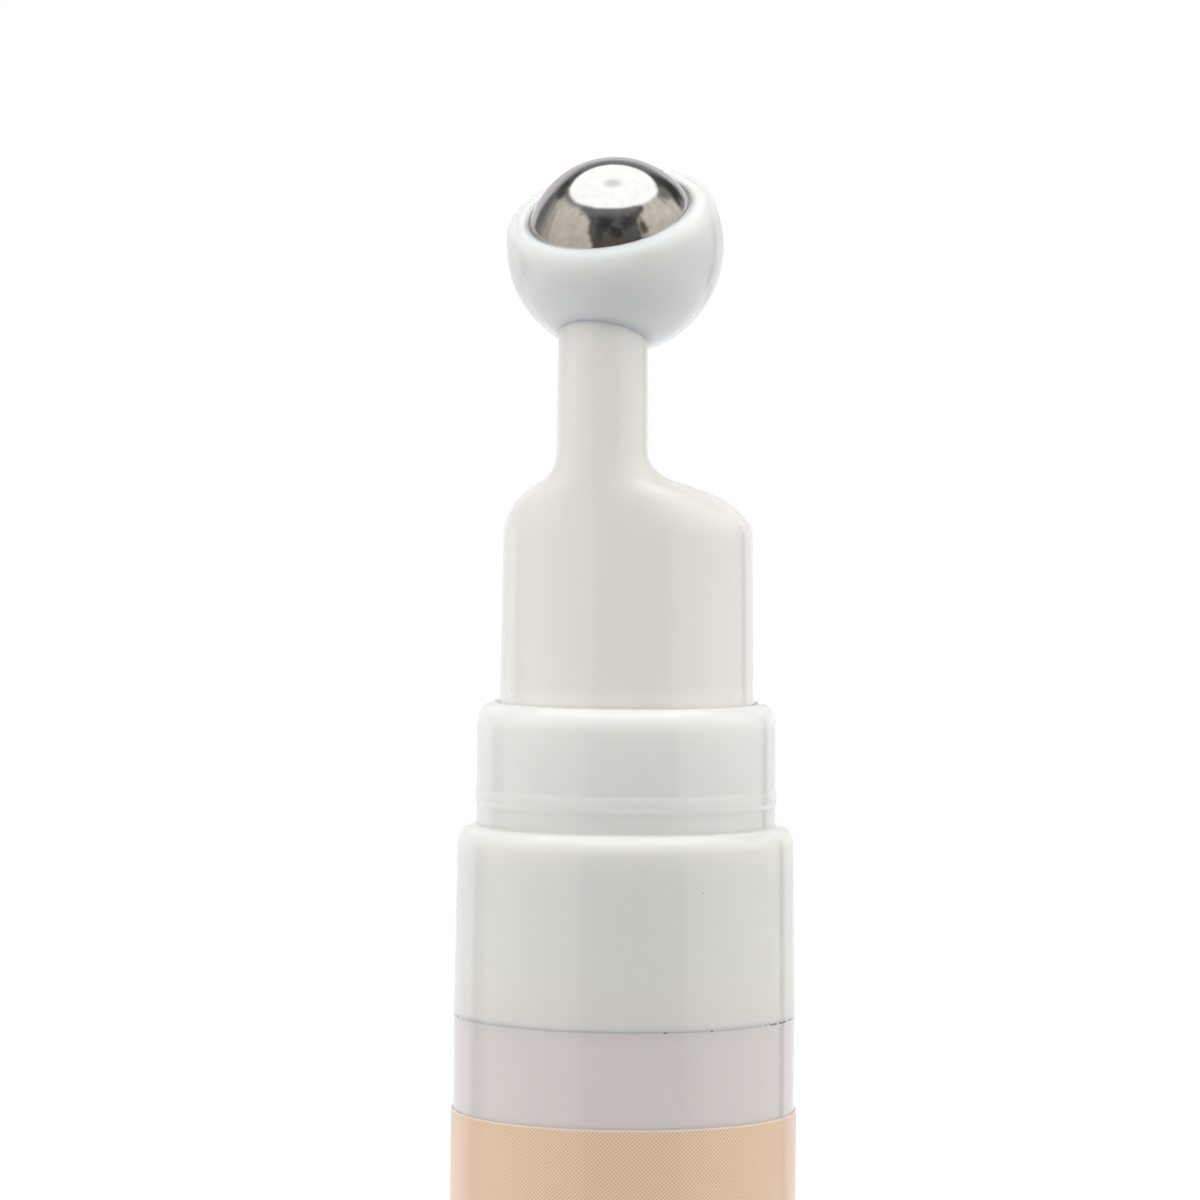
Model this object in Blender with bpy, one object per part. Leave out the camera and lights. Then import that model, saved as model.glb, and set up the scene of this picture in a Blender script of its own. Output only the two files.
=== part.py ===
# Eye serum bottle with an airless pump and a steel roller ball on an off-centre stem.
# Metres, +Z up. The origin is the centre of the base, and the applicator's front faces -Y.
# Run it with: blender --background --python part.py, or from the text editor.
#
# The object from the bottom up: a base cap with a vent, a straight bottle with a label and a
# follower piston inside, a stepped collar, a dispensing pump inside the neck, and an
# applicator head that presses the pump and carries the serum up its stem to the ball.

import math

import bmesh
import bpy
from mathutils import Matrix, Vector

MM = 0.001

# Clearances that several pieces share
seat_gap = 0.1 * MM  # between flat faces that rest on each other
push_gap = 0.1 * MM  # all round a spigot in the bore that it is pushed into
slide_gap = 0.17 * MM  # all round a piece that slides or turns
cutter_overrun = 1.0 * MM  # how far a cutter runs past the face that it opens
weld_distance = 0.0001 * MM  # points this close are one

# Bottle
bottle_height = 80.0 * MM  # from the table to the seam under the collar
bottle_radius = 9.75 * MM
bottle_wall = 1.2 * MM
bottle_foot_round = 0.4 * MM
inner_shoulder_height = 1.2 * MM
shoulder_thickness = 0.5 * MM
neck_set_in = 1.35 * MM  # the neck is this much narrower all round
neck_wall = 1.1 * MM
neck_height = 7.5 * MM
snap_bead_rise = 0.25 * MM
snap_bead_height = 1.4 * MM
snap_bead_drop = 5.3 * MM  # from the neck's top down to the bead's upper edge

# Base cap
base_flange = 1.2 * MM
base_edge_round = 0.6 * MM
base_recess = 0.5 * MM
base_stand_width = 1.6 * MM
base_spigot_height = 2.0 * MM
base_spigot_wall = 1.0 * MM
vent_radius = 0.9 * MM

# Label
label_top_margin = 5.4 * MM  # bare bottle above and below the label
label_thickness = 0.1 * MM
label_gap = 0.05 * MM

# Follower piston
follower_wall = 1.0 * MM
follower_skirt_depth = 2.0 * MM  # below the well
follower_lip_height = 1.2 * MM
follower_waist = 0.5 * MM
follower_well_gap = 0.5 * MM  # all round the pump, which the well takes in at the top
follower_stop_gap = 0.2 * MM

# Collar
collar_proud = 0.02 * MM  # at the seam the collar is this much wider than the bottle all round
collar_draft = 0.15 * MM  # and the ledge this much narrower than the foot
collar_ledge_width = 1.06 * MM
collar_ledge_thickness = 1.65 * MM
collar_ledge_round = 0.75 * MM
collar_root_fillet = 0.12 * MM  # between the ledge and the wall above it
collar_spigot_wall = 1.06 * MM
collar_spigot_height = 6.98 * MM
collar_top_round = 1.0 * MM
cap_bead_rise = 0.07 * MM
cap_bead_height = 1.0 * MM
cap_bead_lift = 1.15 * MM  # from the ledge up to the cap's snap bead

# Pump, from the top down
gasket_thickness = 0.6 * MM
pump_flange_thickness = 0.8 * MM
pump_flange_margin = 0.2 * MM  # how far the flange stays inside the neck's edge
pump_rim_rise = 1.0 * MM
chamber_radius = 3.2 * MM
chamber_wall = 0.9 * MM
guide_flange = 0.7 * MM
guide_wall = 0.7 * MM
guide_plug_depth = 1.8 * MM
guide_skirt_gap = 0.2 * MM
stem_radius = 1.9 * MM
stem_bore = 0.9 * MM
stem_collar_radius = 2.6 * MM
stem_collar_height = 0.8 * MM
stem_port_radius = 0.35 * MM
stem_grip = 3.4 * MM  # length of stem inside the head's socket
piston_height = 2.6 * MM
piston_lip_height = 0.7 * MM
piston_waist = 0.4 * MM
piston_free_travel = 0.8 * MM  # the piston slides this far on the stem and opens the ports
plug_foot_radius = 2.5 * MM
plug_foot_thickness = 0.6 * MM
plug_blade_length = 2.0 * MM
plug_blade_thickness = 0.9 * MM  # its flats let the serum up the stem
press_stroke = 4.0 * MM
stroke_end_gap = 0.3 * MM
skirt_end_gap = 0.9 * MM  # under the head's skirt at the end of the stroke
cage_thickness = 0.6 * MM
cage_hole_radius = 0.45 * MM
cage_hole_circle = 1.4 * MM
inlet_ball_radius = 1.1 * MM
inlet_ball_lift = 1.0 * MM
valve_pocket_gap = 0.4 * MM  # all round the inlet ball
valve_pocket_wall = 0.9 * MM
valve_cone = math.radians(45)
inlet_radius = 0.7 * MM
inlet_nozzle_length = 1.8 * MM
inlet_nozzle_wall = 0.9 * MM

# Return spring
spring_wire_radius = 0.3 * MM
spring_socket_gap = 0.4 * MM
spring_turns = 7
spring_points_per_turn = 16

# Applicator head
head_draft = 0.21 * MM  # the skirt is this much narrower at the shoulder than at its foot
head_wall = 1.0 * MM
head_show = 9.37 * MM  # cylinder above the collar
shoulder_round = 2.6 * MM
shoulder_slope = math.radians(24)
stem_fillet = 1.9 * MM
neck_stem_radius = 2.58 * MM  # the slim stem at its foot
neck_stem_top_radius = 2.53 * MM  # and under the cup
feed_bore = 0.9 * MM
socket_wall = 0.9 * MM
socket_end_gap = 0.3 * MM
insert_thickness = 2.6 * MM
insert_groove_depth = 1.0 * MM
insert_groove_end_wall = 0.5 * MM

# Ball and cup
ball_radius = 5.0 * MM
ball_gap = 0.15 * MM
cup_wall = 0.97 * MM
cup_height = 16.48 * MM  # ball centre above the end of the head's straight cylinder
cup_set_back = 1.89 * MM  # ball centre behind the stem's axis
cup_tilt = math.radians(27)
cup_lip_angle = math.radians(23)  # how far the cup wraps past the ball's equator
cup_joint_gap = 0.15 * MM
cup_spigot_radius = 1.5 * MM
cup_spigot_length = 4.2 * MM
cup_feed_radius = 0.6 * MM

# Facets
outer_segments = 40
inner_segments = 24
ball_segments = 28
small_ball_segments = 16
round_steps = 3
foot_steps = 2
shoulder_steps = 4
cup_outer_steps = 9
cup_inner_steps = 8
cup_lip_steps = 5
sharp_angle = math.radians(35)

# Levels that follow from the sizes above, from the table up
bottle_foot = base_flange + seat_gap
bore_radius = bottle_radius - bottle_wall
neck_radius = bottle_radius - neck_set_in
neck_bore = neck_radius - neck_wall
bore_top = bottle_height - shoulder_thickness - inner_shoulder_height
neck_top = bottle_height + neck_height
gasket_bottom = neck_top + seat_gap
gasket_top = gasket_bottom + gasket_thickness
flange_bottom = gasket_top + seat_gap
flange_top = flange_bottom + pump_flange_thickness
collar_foot_radius = bottle_radius + collar_proud
collar_ledge_radius = collar_foot_radius - collar_draft
collar_spigot_radius = collar_ledge_radius - collar_ledge_width
collar_bore = collar_spigot_radius - collar_spigot_wall
collar_step = flange_top + seat_gap
ledge_level = collar_step + collar_ledge_thickness
collar_top = ledge_level + collar_spigot_height
pump_rim = flange_top + pump_rim_rise
guide_level = pump_rim + seat_gap
guide_top = guide_level + guide_flange
guide_bottom = guide_level - guide_plug_depth
stem_collar_bottom = guide_bottom - seat_gap - stem_collar_height
piston_top = stem_collar_bottom - piston_free_travel - seat_gap
piston_bottom = piston_top - piston_height
plug_top = piston_bottom - seat_gap
plug_bottom = plug_top - plug_foot_thickness
cage_top = plug_bottom - press_stroke - stroke_end_gap
cage_bottom = cage_top - cage_thickness
chamber_floor = cage_bottom - seat_gap
valve_pocket_radius = inlet_ball_radius + valve_pocket_gap
seat_cone_height = (valve_pocket_radius - inlet_radius) / math.tan(valve_cone)
# The inlet ball stands seat_gap off its cone, measured square to the cone.
ball_over_tip = (inlet_ball_radius + seat_gap) / math.sin(valve_cone)
ball_over_cone = ball_over_tip - inlet_radius / math.tan(valve_cone)
inlet_ball_level = cage_bottom - seat_gap - inlet_ball_lift - inlet_ball_radius
cone_bottom = inlet_ball_level - ball_over_cone
nozzle_bottom = cone_bottom - inlet_nozzle_length
follower_bottom = base_flange + base_spigot_height + follower_stop_gap
follower_well_radius = chamber_radius + chamber_wall + follower_well_gap
follower_well_depth = bore_top - nozzle_bottom + follower_stop_gap
follower_height = follower_well_depth + follower_wall + follower_skirt_depth
head_skirt_radius = collar_bore - slide_gap
head_top_radius = head_skirt_radius - head_draft
skirt_bottom = collar_step + press_stroke + skirt_end_gap
shoulder_level = collar_top + head_show
roof_level = shoulder_level
insert_top = roof_level - seat_gap
insert_bottom = insert_top - insert_thickness
socket_bottom = guide_top + press_stroke + socket_end_gap
socket_roof = socket_bottom + stem_grip + seat_gap
stem_top = socket_bottom + stem_grip
spring_bottom = guide_top + seat_gap
spring_top = insert_bottom - seat_gap
stem_offset = head_top_radius - neck_stem_radius  # the stem's front is flush with the head's
cup_radius = ball_radius + ball_gap + cup_wall
cup_level = shoulder_level + cup_height
cup_centre = Vector((0, cup_set_back - stem_offset, cup_level))
socket_radius = stem_radius + push_gap + socket_wall
skirt_bore = head_top_radius - head_wall


def clear_scene():
    """Removes whatever the file holds."""
    for obj in list(bpy.data.objects):
        bpy.data.objects.remove(obj, do_unlink=True)


def material(name, colour, roughness, metallic=0.0):
    """A plain Principled finish in the piece's own colour."""
    made = bpy.data.materials.new(name)
    made.use_nodes = True
    shader = made.node_tree.nodes["Principled BSDF"]
    shader.inputs["Base Color"].default_value = (*colour, 1.0)
    shader.inputs["Roughness"].default_value = roughness
    shader.inputs["Metallic"].default_value = metallic
    return made


def pivot(name, location=(0, 0, 0)):
    """An empty on a joint's axis, which carries the pieces that move together."""
    empty = bpy.data.objects.new(name, None)
    empty.location = location
    bpy.context.scene.collection.objects.link(empty)
    return empty


def add_object(name, bm, finish=None, parent=None, location=(0, 0, 0), rotation=(0, 0, 0)):
    """Makes an object of the bmesh, smooth but for its sharp edges, at a place in the world."""
    bmesh.ops.recalc_face_normals(bm, faces=bm.faces[:])
    mesh = bpy.data.meshes.new(name)
    bm.to_mesh(mesh)
    bm.free()
    mesh.shade_smooth()
    mesh.set_sharp_from_angle(angle=sharp_angle)
    obj = bpy.data.objects.new(name, mesh)
    bpy.context.scene.collection.objects.link(obj)
    obj.location = location
    obj.rotation_euler = rotation
    if parent is not None:
        obj.parent = parent
        obj.location = Vector(location) - parent.location
    if finish is not None:
        mesh.materials.append(finish)
    return obj


def arc(centre, radius, start, end, steps=round_steps):
    """Points (r, z) along an arc about centre, from one angle to another, both ends included."""
    turn = (math.radians(end) - math.radians(start)) / steps
    angles = [math.radians(start) + turn * i for i in range(steps + 1)]
    return [(centre[0] + radius * math.cos(a), centre[1] + radius * math.sin(a)) for a in angles]


def turned_mesh(profile, base, segments, ring):
    """Spins (r, z) points about Z: a closed loop for a ring, a line from axis to axis for a disc."""
    bm = bmesh.new()
    points = [bm.verts.new((r, 0, z - base)) for r, z in profile]
    edges = [bm.edges.new(pair) for pair in zip(points, points[1:])]
    if ring:
        edges.append(bm.edges.new((points[-1], points[0])))
    bmesh.ops.spin(
        bm,
        geom=points + edges,
        cent=(0, 0, 0),
        axis=(0, 0, 1),
        angle=math.tau,
        steps=segments,
        use_merge=True,
    )
    bmesh.ops.remove_doubles(bm, verts=bm.verts[:], dist=weld_distance)
    return bm


def turned(name, profile, finish, parent, segments=outer_segments, ring=True, base=None):
    """A turned piece on the bottle's axis, with its origin at its own base."""
    base = min(z for _, z in profile) if base is None else base
    bm = turned_mesh(profile, base, segments, ring)
    return add_object(name, bm, finish, parent, (0, 0, base))


def cylinder_mesh(radius, height, segments):
    """A cylinder that stands on the local origin."""
    bm = bmesh.new()
    raised = Matrix.Translation((0, 0, height / 2))
    bmesh.ops.create_cone(
        bm,
        cap_ends=True,
        segments=segments,
        radius1=radius,
        radius2=radius,
        depth=height,
        matrix=raised,
    )
    return bm


def sphere_mesh(radius, segments):
    """A sphere about the local origin."""
    bm = bmesh.new()
    bmesh.ops.create_uvsphere(bm, u_segments=segments, v_segments=segments // 2, radius=radius)
    return bm


def helper(obj):
    """Marks a cutter or a joined lump, which isn't a piece of its own."""
    obj.hide_render = True
    obj.display_type = "WIRE"
    return obj


def boolean(obj, other, operation="DIFFERENCE"):
    """Cuts the helper from the piece, or joins it on."""
    modifier = obj.modifiers.new(operation.title() + " " + other.name, "BOOLEAN")
    modifier.operation = operation
    modifier.object = helper(other)


def rod_cutter(name, radius, bottom, top, x=0.0, y=0.0, segments=inner_segments):
    """A vertical round cutter between two levels."""
    bm = cylinder_mesh(radius, top - bottom, segments)
    return add_object(name, bm, location=(x, y, bottom))


def box_cutter(name, size, centre):
    """A square cutter of a size about a centre."""
    bm = bmesh.new()
    bmesh.ops.create_cube(bm, size=1.0)
    bmesh.ops.scale(bm, vec=size, verts=bm.verts[:])
    return add_object(name, bm, location=centre)


def lofted_mesh(rings, segments):
    """Skins a stack of level circles (centre y, radius, z) and closes both ends."""
    bm = bmesh.new()
    loops = []
    for centre, radius, level in rings:
        matrix = Matrix.Translation((0, centre, level))
        made = bmesh.ops.create_circle(bm, segments=segments, radius=radius, matrix=matrix)
        loops.append(made["verts"])
    for low, high in zip(loops, loops[1:]):
        for i in range(segments):
            j = (i + 1) % segments
            bm.faces.new((low[i], low[j], high[j], high[i]))
    bm.faces.new(loops[0])
    bm.faces.new(loops[-1])
    return bm


def make_base_cap(finish, parent):
    """Plug in the bottle's foot, with a stand ring below and a vent through its floor."""
    spigot = bore_radius - push_gap
    spigot_bore = spigot - base_spigot_wall
    spigot_top = base_flange + base_spigot_height
    stand_outer = bottle_radius - base_edge_round
    stand_inner = stand_outer - base_stand_width
    corner = arc((stand_outer, base_edge_round), base_edge_round, -90, 0)
    profile = [
        (vent_radius, base_recess),
        (stand_inner - base_recess, base_recess),
        (stand_inner, 0),
        *corner,
        (bottle_radius, base_flange),
        (spigot, base_flange),
        (spigot, spigot_top),
        (spigot_bore, spigot_top),
        (spigot_bore, base_flange),
        (vent_radius, base_flange),
    ]
    return turned("base_cap", profile, finish, parent)


def make_bottle(finish, parent):
    """Straight moulded tube with a narrower neck and a bead that the collar snaps over."""
    bead_top = neck_top - snap_bead_drop
    bead_bottom = bead_top - snap_bead_height
    slant = snap_bead_height / 3
    bead_radius = neck_radius + snap_bead_rise
    cone_top = bottle_height - shoulder_thickness
    foot_corner = (bottle_radius - bottle_foot_round, bottle_foot + bottle_foot_round)
    profile = [
        (bore_radius, bottle_foot),
        *arc(foot_corner, bottle_foot_round, -90, 0, foot_steps),
        (bottle_radius, bottle_height),
        (neck_radius, bottle_height),
        (neck_radius, bead_bottom),
        (bead_radius, bead_bottom + slant),
        (bead_radius, bead_top - slant),
        (neck_radius, bead_top),
        (neck_radius, neck_top),
        (neck_bore, neck_top),
        (neck_bore, cone_top),
        (bore_radius, bore_top),
    ]
    return turned("bottle", profile, finish, parent)


def make_label(finish, parent):
    """Wrap of printed film on the bottle's straight wall."""
    inner = bottle_radius + label_gap
    outer = inner + label_thickness
    top = bottle_height - label_top_margin
    profile = [(inner, label_top_margin), (outer, label_top_margin), (outer, top), (inner, top)]
    return turned("label", profile, finish, parent)


def make_follower(finish, parent):
    """Piston that follows the serum up, with a lip at each end and a well that clears the pump."""
    lip = bore_radius - slide_gap
    waist = lip - follower_waist
    top = follower_bottom + follower_height
    well_floor = top - follower_well_depth
    web = well_floor - follower_wall
    inner = waist - follower_wall
    step = follower_bottom + follower_lip_height
    profile = [
        (0, web),
        (follower_well_radius, web),
        (follower_well_radius + follower_wall, well_floor),
        (follower_well_radius + follower_wall, top - follower_wall),
        (inner, top - follower_wall),
        (inner, follower_bottom),
        (lip, follower_bottom),
        (lip, step),
        (waist, step + follower_waist),
        (waist, top - follower_lip_height - follower_waist),
        (lip, top - follower_lip_height),
        (lip, top),
        (follower_well_radius, top),
        (follower_well_radius, well_floor),
        (0, well_floor),
    ]
    return turned("follower_piston", profile, finish, parent, ring=False)


def make_collar(finish, parent):
    """Stepped shoulder: the cap's rim stands on the ledge and its wall snaps over the low bead."""
    foot = bottle_height + seat_gap
    inner = neck_radius + push_gap
    bead_top = neck_top - snap_bead_drop
    groove = inner + snap_bead_rise
    ledge_corner = (collar_ledge_radius - collar_ledge_round, ledge_level - collar_ledge_round)
    top_corner = (collar_spigot_radius - collar_top_round, collar_top - collar_top_round)
    bead_foot = ledge_level + cap_bead_lift
    bead_top_level = bead_foot + cap_bead_height
    bead_slant = cap_bead_height / 4
    bead_radius = collar_spigot_radius + cap_bead_rise
    profile = [
        (inner, foot),
        (collar_foot_radius, foot),
        *arc(ledge_corner, collar_ledge_round, 0, 90),
        (collar_spigot_radius + collar_root_fillet, ledge_level),
        (collar_spigot_radius, ledge_level + collar_root_fillet),
        (collar_spigot_radius, bead_foot),
        (bead_radius, bead_foot + bead_slant),
        (bead_radius, bead_top_level - bead_slant),
        (collar_spigot_radius, bead_top_level),
        *arc(top_corner, collar_top_round, 0, 90),
        (collar_bore, collar_top),
        (collar_bore, collar_step),
        (inner, collar_step),
        (inner, bead_top + push_gap),
        (groove, bead_top),
        (groove, bead_top - snap_bead_height),
        (inner, bead_top - snap_bead_height - push_gap),
    ]
    return turned("shoulder_collar", profile, finish, parent)


def make_gasket(finish, parent):
    """Flat ring that seals the pump's flange to the neck."""
    inner = neck_bore + push_gap
    outer = neck_radius - pump_flange_margin
    profile = [(inner, gasket_bottom), (outer, gasket_bottom), (outer, gasket_top), (inner, gasket_top)]
    return turned("neck_gasket", profile, finish, parent)


def make_pump_body(finish, parent):
    """Flanged cylinder that hangs in the neck, with the inlet valve's cone in its foot."""
    flange = neck_radius - pump_flange_margin
    outer = chamber_radius + chamber_wall
    pocket_outer = valve_pocket_radius + valve_pocket_wall
    nozzle_outer = inlet_radius + inlet_nozzle_wall
    cone_top = cone_bottom + seat_cone_height
    profile = [
        (inlet_radius, nozzle_bottom),
        (nozzle_outer, nozzle_bottom),
        (nozzle_outer, cone_bottom - inlet_nozzle_wall),
        (pocket_outer, cone_bottom),
        (pocket_outer, chamber_floor - chamber_wall),
        (outer, chamber_floor - chamber_wall),
        (outer, flange_bottom),
        (flange, flange_bottom),
        (flange, flange_top),
        (outer, flange_top),
        (outer, pump_rim),
        (chamber_radius, pump_rim),
        (chamber_radius, chamber_floor),
        (valve_pocket_radius, chamber_floor),
        (valve_pocket_radius, cone_top),
        (inlet_radius, cone_bottom),
    ]
    return turned("pump_body", profile, finish, parent, inner_segments)


def make_valve_cage(finish, parent):
    """Drilled disc on the chamber's floor that keeps the inlet ball in its pocket."""
    radius = chamber_radius - push_gap
    profile = [(0, cage_bottom), (radius, cage_bottom), (radius, cage_top), (0, cage_top)]
    cage = turned("valve_cage", profile, finish, parent, inner_segments, ring=False)
    for turn in range(4):
        angle = turn * math.tau / 4
        x, y = cage_hole_circle * math.cos(angle), cage_hole_circle * math.sin(angle)
        low, high = cage_bottom - cutter_overrun, cage_top + cutter_overrun
        hole = rod_cutter(f"cage_hole_{turn}", cage_hole_radius, low, high, x, y, small_ball_segments)
        boolean(cage, hole)
    return cage


def make_inlet_ball(finish, parent):
    """Steel ball that closes the inlet on the down stroke and lifts on the up stroke."""
    bm = sphere_mesh(inlet_ball_radius, small_ball_segments)
    return add_object("inlet_ball", bm, finish, parent, (0, 0, inlet_ball_level))


def make_stem_guide(finish, parent):
    """Ring snapped over the pump's rim: it guides the stem, stops it and seats the spring."""
    bore = stem_radius + slide_gap
    plug = chamber_radius - push_gap
    skirt = chamber_radius + chamber_wall + guide_skirt_gap
    skirt_bottom_level = flange_top + guide_skirt_gap
    profile = [
        (bore, guide_bottom),
        (plug, guide_bottom),
        (plug, guide_level),
        (skirt, guide_level),
        (skirt, skirt_bottom_level),
        (skirt + guide_wall, skirt_bottom_level),
        (skirt + guide_wall, guide_top),
        (bore, guide_top),
    ]
    return turned("stem_guide", profile, finish, parent, inner_segments)


def make_pump_stem(finish, parent):
    """Hollow stem: its collar meets the guide, and its ports let the serum into the bore."""
    profile = [
        (stem_bore, piston_bottom),
        (stem_radius, piston_bottom),
        (stem_radius, stem_collar_bottom),
        (stem_collar_radius, stem_collar_bottom),
        (stem_collar_radius, stem_collar_bottom + stem_collar_height),
        (stem_radius, stem_collar_bottom + stem_collar_height),
        (stem_radius, stem_top),
        (stem_bore, stem_top),
    ]
    stem = turned("pump_stem", profile, finish, parent, inner_segments)
    port_level = piston_bottom + piston_free_travel / 2
    reach = stem_radius + cutter_overrun
    port = cylinder_mesh(stem_port_radius, 2 * reach, small_ball_segments)
    cutter = add_object(
        "stem_ports", port, location=(-reach, 0, port_level), rotation=(0, math.radians(90), 0)
    )
    boolean(stem, cutter)
    return stem


def make_stem_plug(finish, parent):
    """Foot that the piston closes on, held by a flat blade pushed up the stem's bore."""
    pin = stem_bore - push_gap
    blade_top = plug_top + plug_blade_length
    profile = [
        (0, plug_bottom),
        (plug_foot_radius, plug_bottom),
        (plug_foot_radius, plug_top),
        (pin, plug_top),
        (pin, blade_top),
        (0, blade_top),
    ]
    plug = turned("stem_plug", profile, finish, parent, inner_segments, ring=False)
    low, high = plug_top + seat_gap, blade_top + cutter_overrun
    size = Vector((pin, 2 * (pin + cutter_overrun), high - low))
    for side in (-1, 1):
        centre = (side * (plug_blade_thickness + size.x) / 2, 0, (low + high) / 2)
        boolean(plug, box_cutter(f"blade_flat_{side}", size, centre))
    return plug


def make_piston_seal(finish, parent):
    """Soft ring with a lip at each end, which wipes the chamber."""
    bore = stem_radius + push_gap
    lip = chamber_radius - push_gap
    waist = lip - piston_waist
    profile = [
        (bore, piston_bottom),
        (lip, piston_bottom),
        (lip, piston_bottom + piston_lip_height),
        (waist, piston_bottom + piston_lip_height),
        (waist, piston_top - piston_lip_height),
        (lip, piston_top - piston_lip_height),
        (lip, piston_top),
        (bore, piston_top),
    ]
    return turned("piston_seal", profile, finish, parent, inner_segments)


def make_spring(finish, parent):
    """Steel coil between the guide and the head's insert, one unbroken round wire."""
    coil_radius = socket_radius + spring_socket_gap + spring_wire_radius
    low = spring_bottom + spring_wire_radius
    rise = spring_top - spring_wire_radius - low
    count = spring_turns * spring_points_per_turn
    curve = bpy.data.curves.new("return_spring", "CURVE")
    curve.dimensions = "3D"
    curve.bevel_depth = spring_wire_radius
    curve.bevel_resolution = 1
    curve.use_fill_caps = True
    spline = curve.splines.new("POLY")
    spline.points.add(count)
    points = []
    for i, point in enumerate(spline.points):
        angle = math.tau * i / spring_points_per_turn
        place = Vector(
            (coil_radius * math.cos(angle), coil_radius * math.sin(angle), rise * i / count)
        )
        points.append(place)
        point.co = (*place, 1)
    half_turn = spring_points_per_turn // 2
    least = min(
        (points[i] - points[j]).length
        for i in range(len(points))
        for j in range(i + half_turn, len(points))
    )
    print(f"return_spring: least gap to itself {(least - 2 * spring_wire_radius) / MM:.2f} mm")
    curve.materials.append(finish)
    spring = bpy.data.objects.new("return_spring", curve)
    bpy.context.scene.collection.objects.link(spring)
    spring.parent = parent
    spring.location = Vector((0, 0, low)) - parent.location
    return spring


def head_rings():
    """Circles of the head's outside. Above the cylinder they all touch one line at the front."""
    draft = (head_skirt_radius - head_top_radius) / (shoulder_level - skirt_bottom)
    show_radius = head_top_radius + draft * head_show
    slope = math.degrees(shoulder_slope)
    round_centre = (head_top_radius - shoulder_round, shoulder_level)
    outer = arc(round_centre, shoulder_round, 0, 90 - slope, shoulder_steps)
    fillet_r = neck_stem_radius + stem_fillet
    foot_r = fillet_r - stem_fillet * math.sin(shoulder_slope)
    run = outer[-1][0] - foot_r
    foot_z = outer[-1][1] + run * math.tan(shoulder_slope)
    fillet_z = foot_z + stem_fillet * math.cos(shoulder_slope)
    fillet = arc((fillet_r, fillet_z), stem_fillet, 270 - slope, 180, shoulder_steps)
    rings = [(0, head_skirt_radius, skirt_bottom), (0, show_radius, collar_top)]
    rings += [(radius - head_top_radius, radius, level) for radius, level in outer + fillet]
    rings.append((-stem_offset, neck_stem_top_radius, cup_level))
    return rings


def make_head(finish, parent):
    """Skirt, sloping shoulder and off-centre stem in one moulding, open below."""
    head = add_object("applicator_head", lofted_mesh(head_rings(), outer_segments), finish, parent)
    low = skirt_bottom - cutter_overrun
    boolean(head, rod_cutter("skirt_cavity", skirt_bore, low, roof_level, 0, 0, outer_segments))
    feed = rod_cutter("feed_bore", feed_bore, insert_top, cup_level, 0, -stem_offset)
    boolean(head, feed)
    spigot_bottom = cup_level - cup_radius - cup_spigot_length
    mouth = rod_cutter(
        "spigot_bore", cup_spigot_radius + push_gap, spigot_bottom - seat_gap, cup_level, 0, -stem_offset
    )
    boolean(head, mouth)
    seat = add_object(
        "cup_seat", sphere_mesh(cup_radius + cup_joint_gap, outer_segments), location=cup_centre
    )
    boolean(head, seat)
    return head


def make_flow_insert(finish, parent):
    """Disc under the head's roof: a socket for the stem below, a groove to the feed bore above."""
    bore = stem_radius + push_gap
    disc = skirt_bore - push_gap
    profile = [
        (bore, socket_bottom),
        (socket_radius, socket_bottom),
        (socket_radius, insert_bottom),
        (disc, insert_bottom),
        (disc, insert_top),
        (feed_bore, insert_top),
        (feed_bore, socket_roof),
        (bore, socket_roof),
    ]
    insert = turned("flow_insert", profile, finish, parent, inner_segments)
    groove_front = min(stem_offset + feed_bore, disc - insert_groove_end_wall)
    size = Vector((2 * feed_bore, groove_front, insert_groove_depth + cutter_overrun))
    level = insert_top - insert_groove_depth + size.z / 2
    boolean(insert, box_cutter("insert_groove", size, (0, -groove_front / 2, level)))
    return insert


def make_ball_cup(finish, parent):
    """Tilted round cup that snaps over the ball, with a spigot that plugs into the stem."""
    inner = ball_radius + ball_gap
    middle = inner + cup_wall / 2
    lip = math.degrees(cup_lip_angle)
    rim_centre = (middle * math.cos(cup_lip_angle), middle * math.sin(cup_lip_angle))
    profile = [
        *arc((0, 0), cup_radius, -90, lip, cup_outer_steps),
        *arc(rim_centre, cup_wall / 2, lip, lip + 180, cup_lip_steps)[1:-1],
        *arc((0, 0), inner, lip, -90, cup_inner_steps),
    ]
    profile[0] = (0, -cup_radius)
    profile[-1] = (0, -inner)
    bm = turned_mesh(profile, 0, outer_segments, ring=False)
    cup = add_object("ball_cup", bm, finish, parent, cup_centre, (cup_tilt, 0, 0))
    spigot_bottom = cup_level - cup_radius - cup_spigot_length
    spigot = rod_cutter("cup_spigot", cup_spigot_radius, spigot_bottom, cup_level, 0, -stem_offset)
    hollow = add_object("spigot_trim", sphere_mesh(middle, outer_segments), location=cup_centre)
    boolean(spigot, hollow)
    boolean(cup, spigot, "UNION")
    low = spigot_bottom - cutter_overrun
    feed = rod_cutter(
        "cup_feed", cup_feed_radius, low, cup_level, 0, -stem_offset, small_ball_segments
    )
    boolean(cup, feed)
    return cup


def make_roller_ball(finish, parent):
    """Polished steel ball, held by the cup's lip."""
    return add_object("roller_ball", sphere_mesh(ball_radius, ball_segments), finish, parent, cup_centre)


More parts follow.
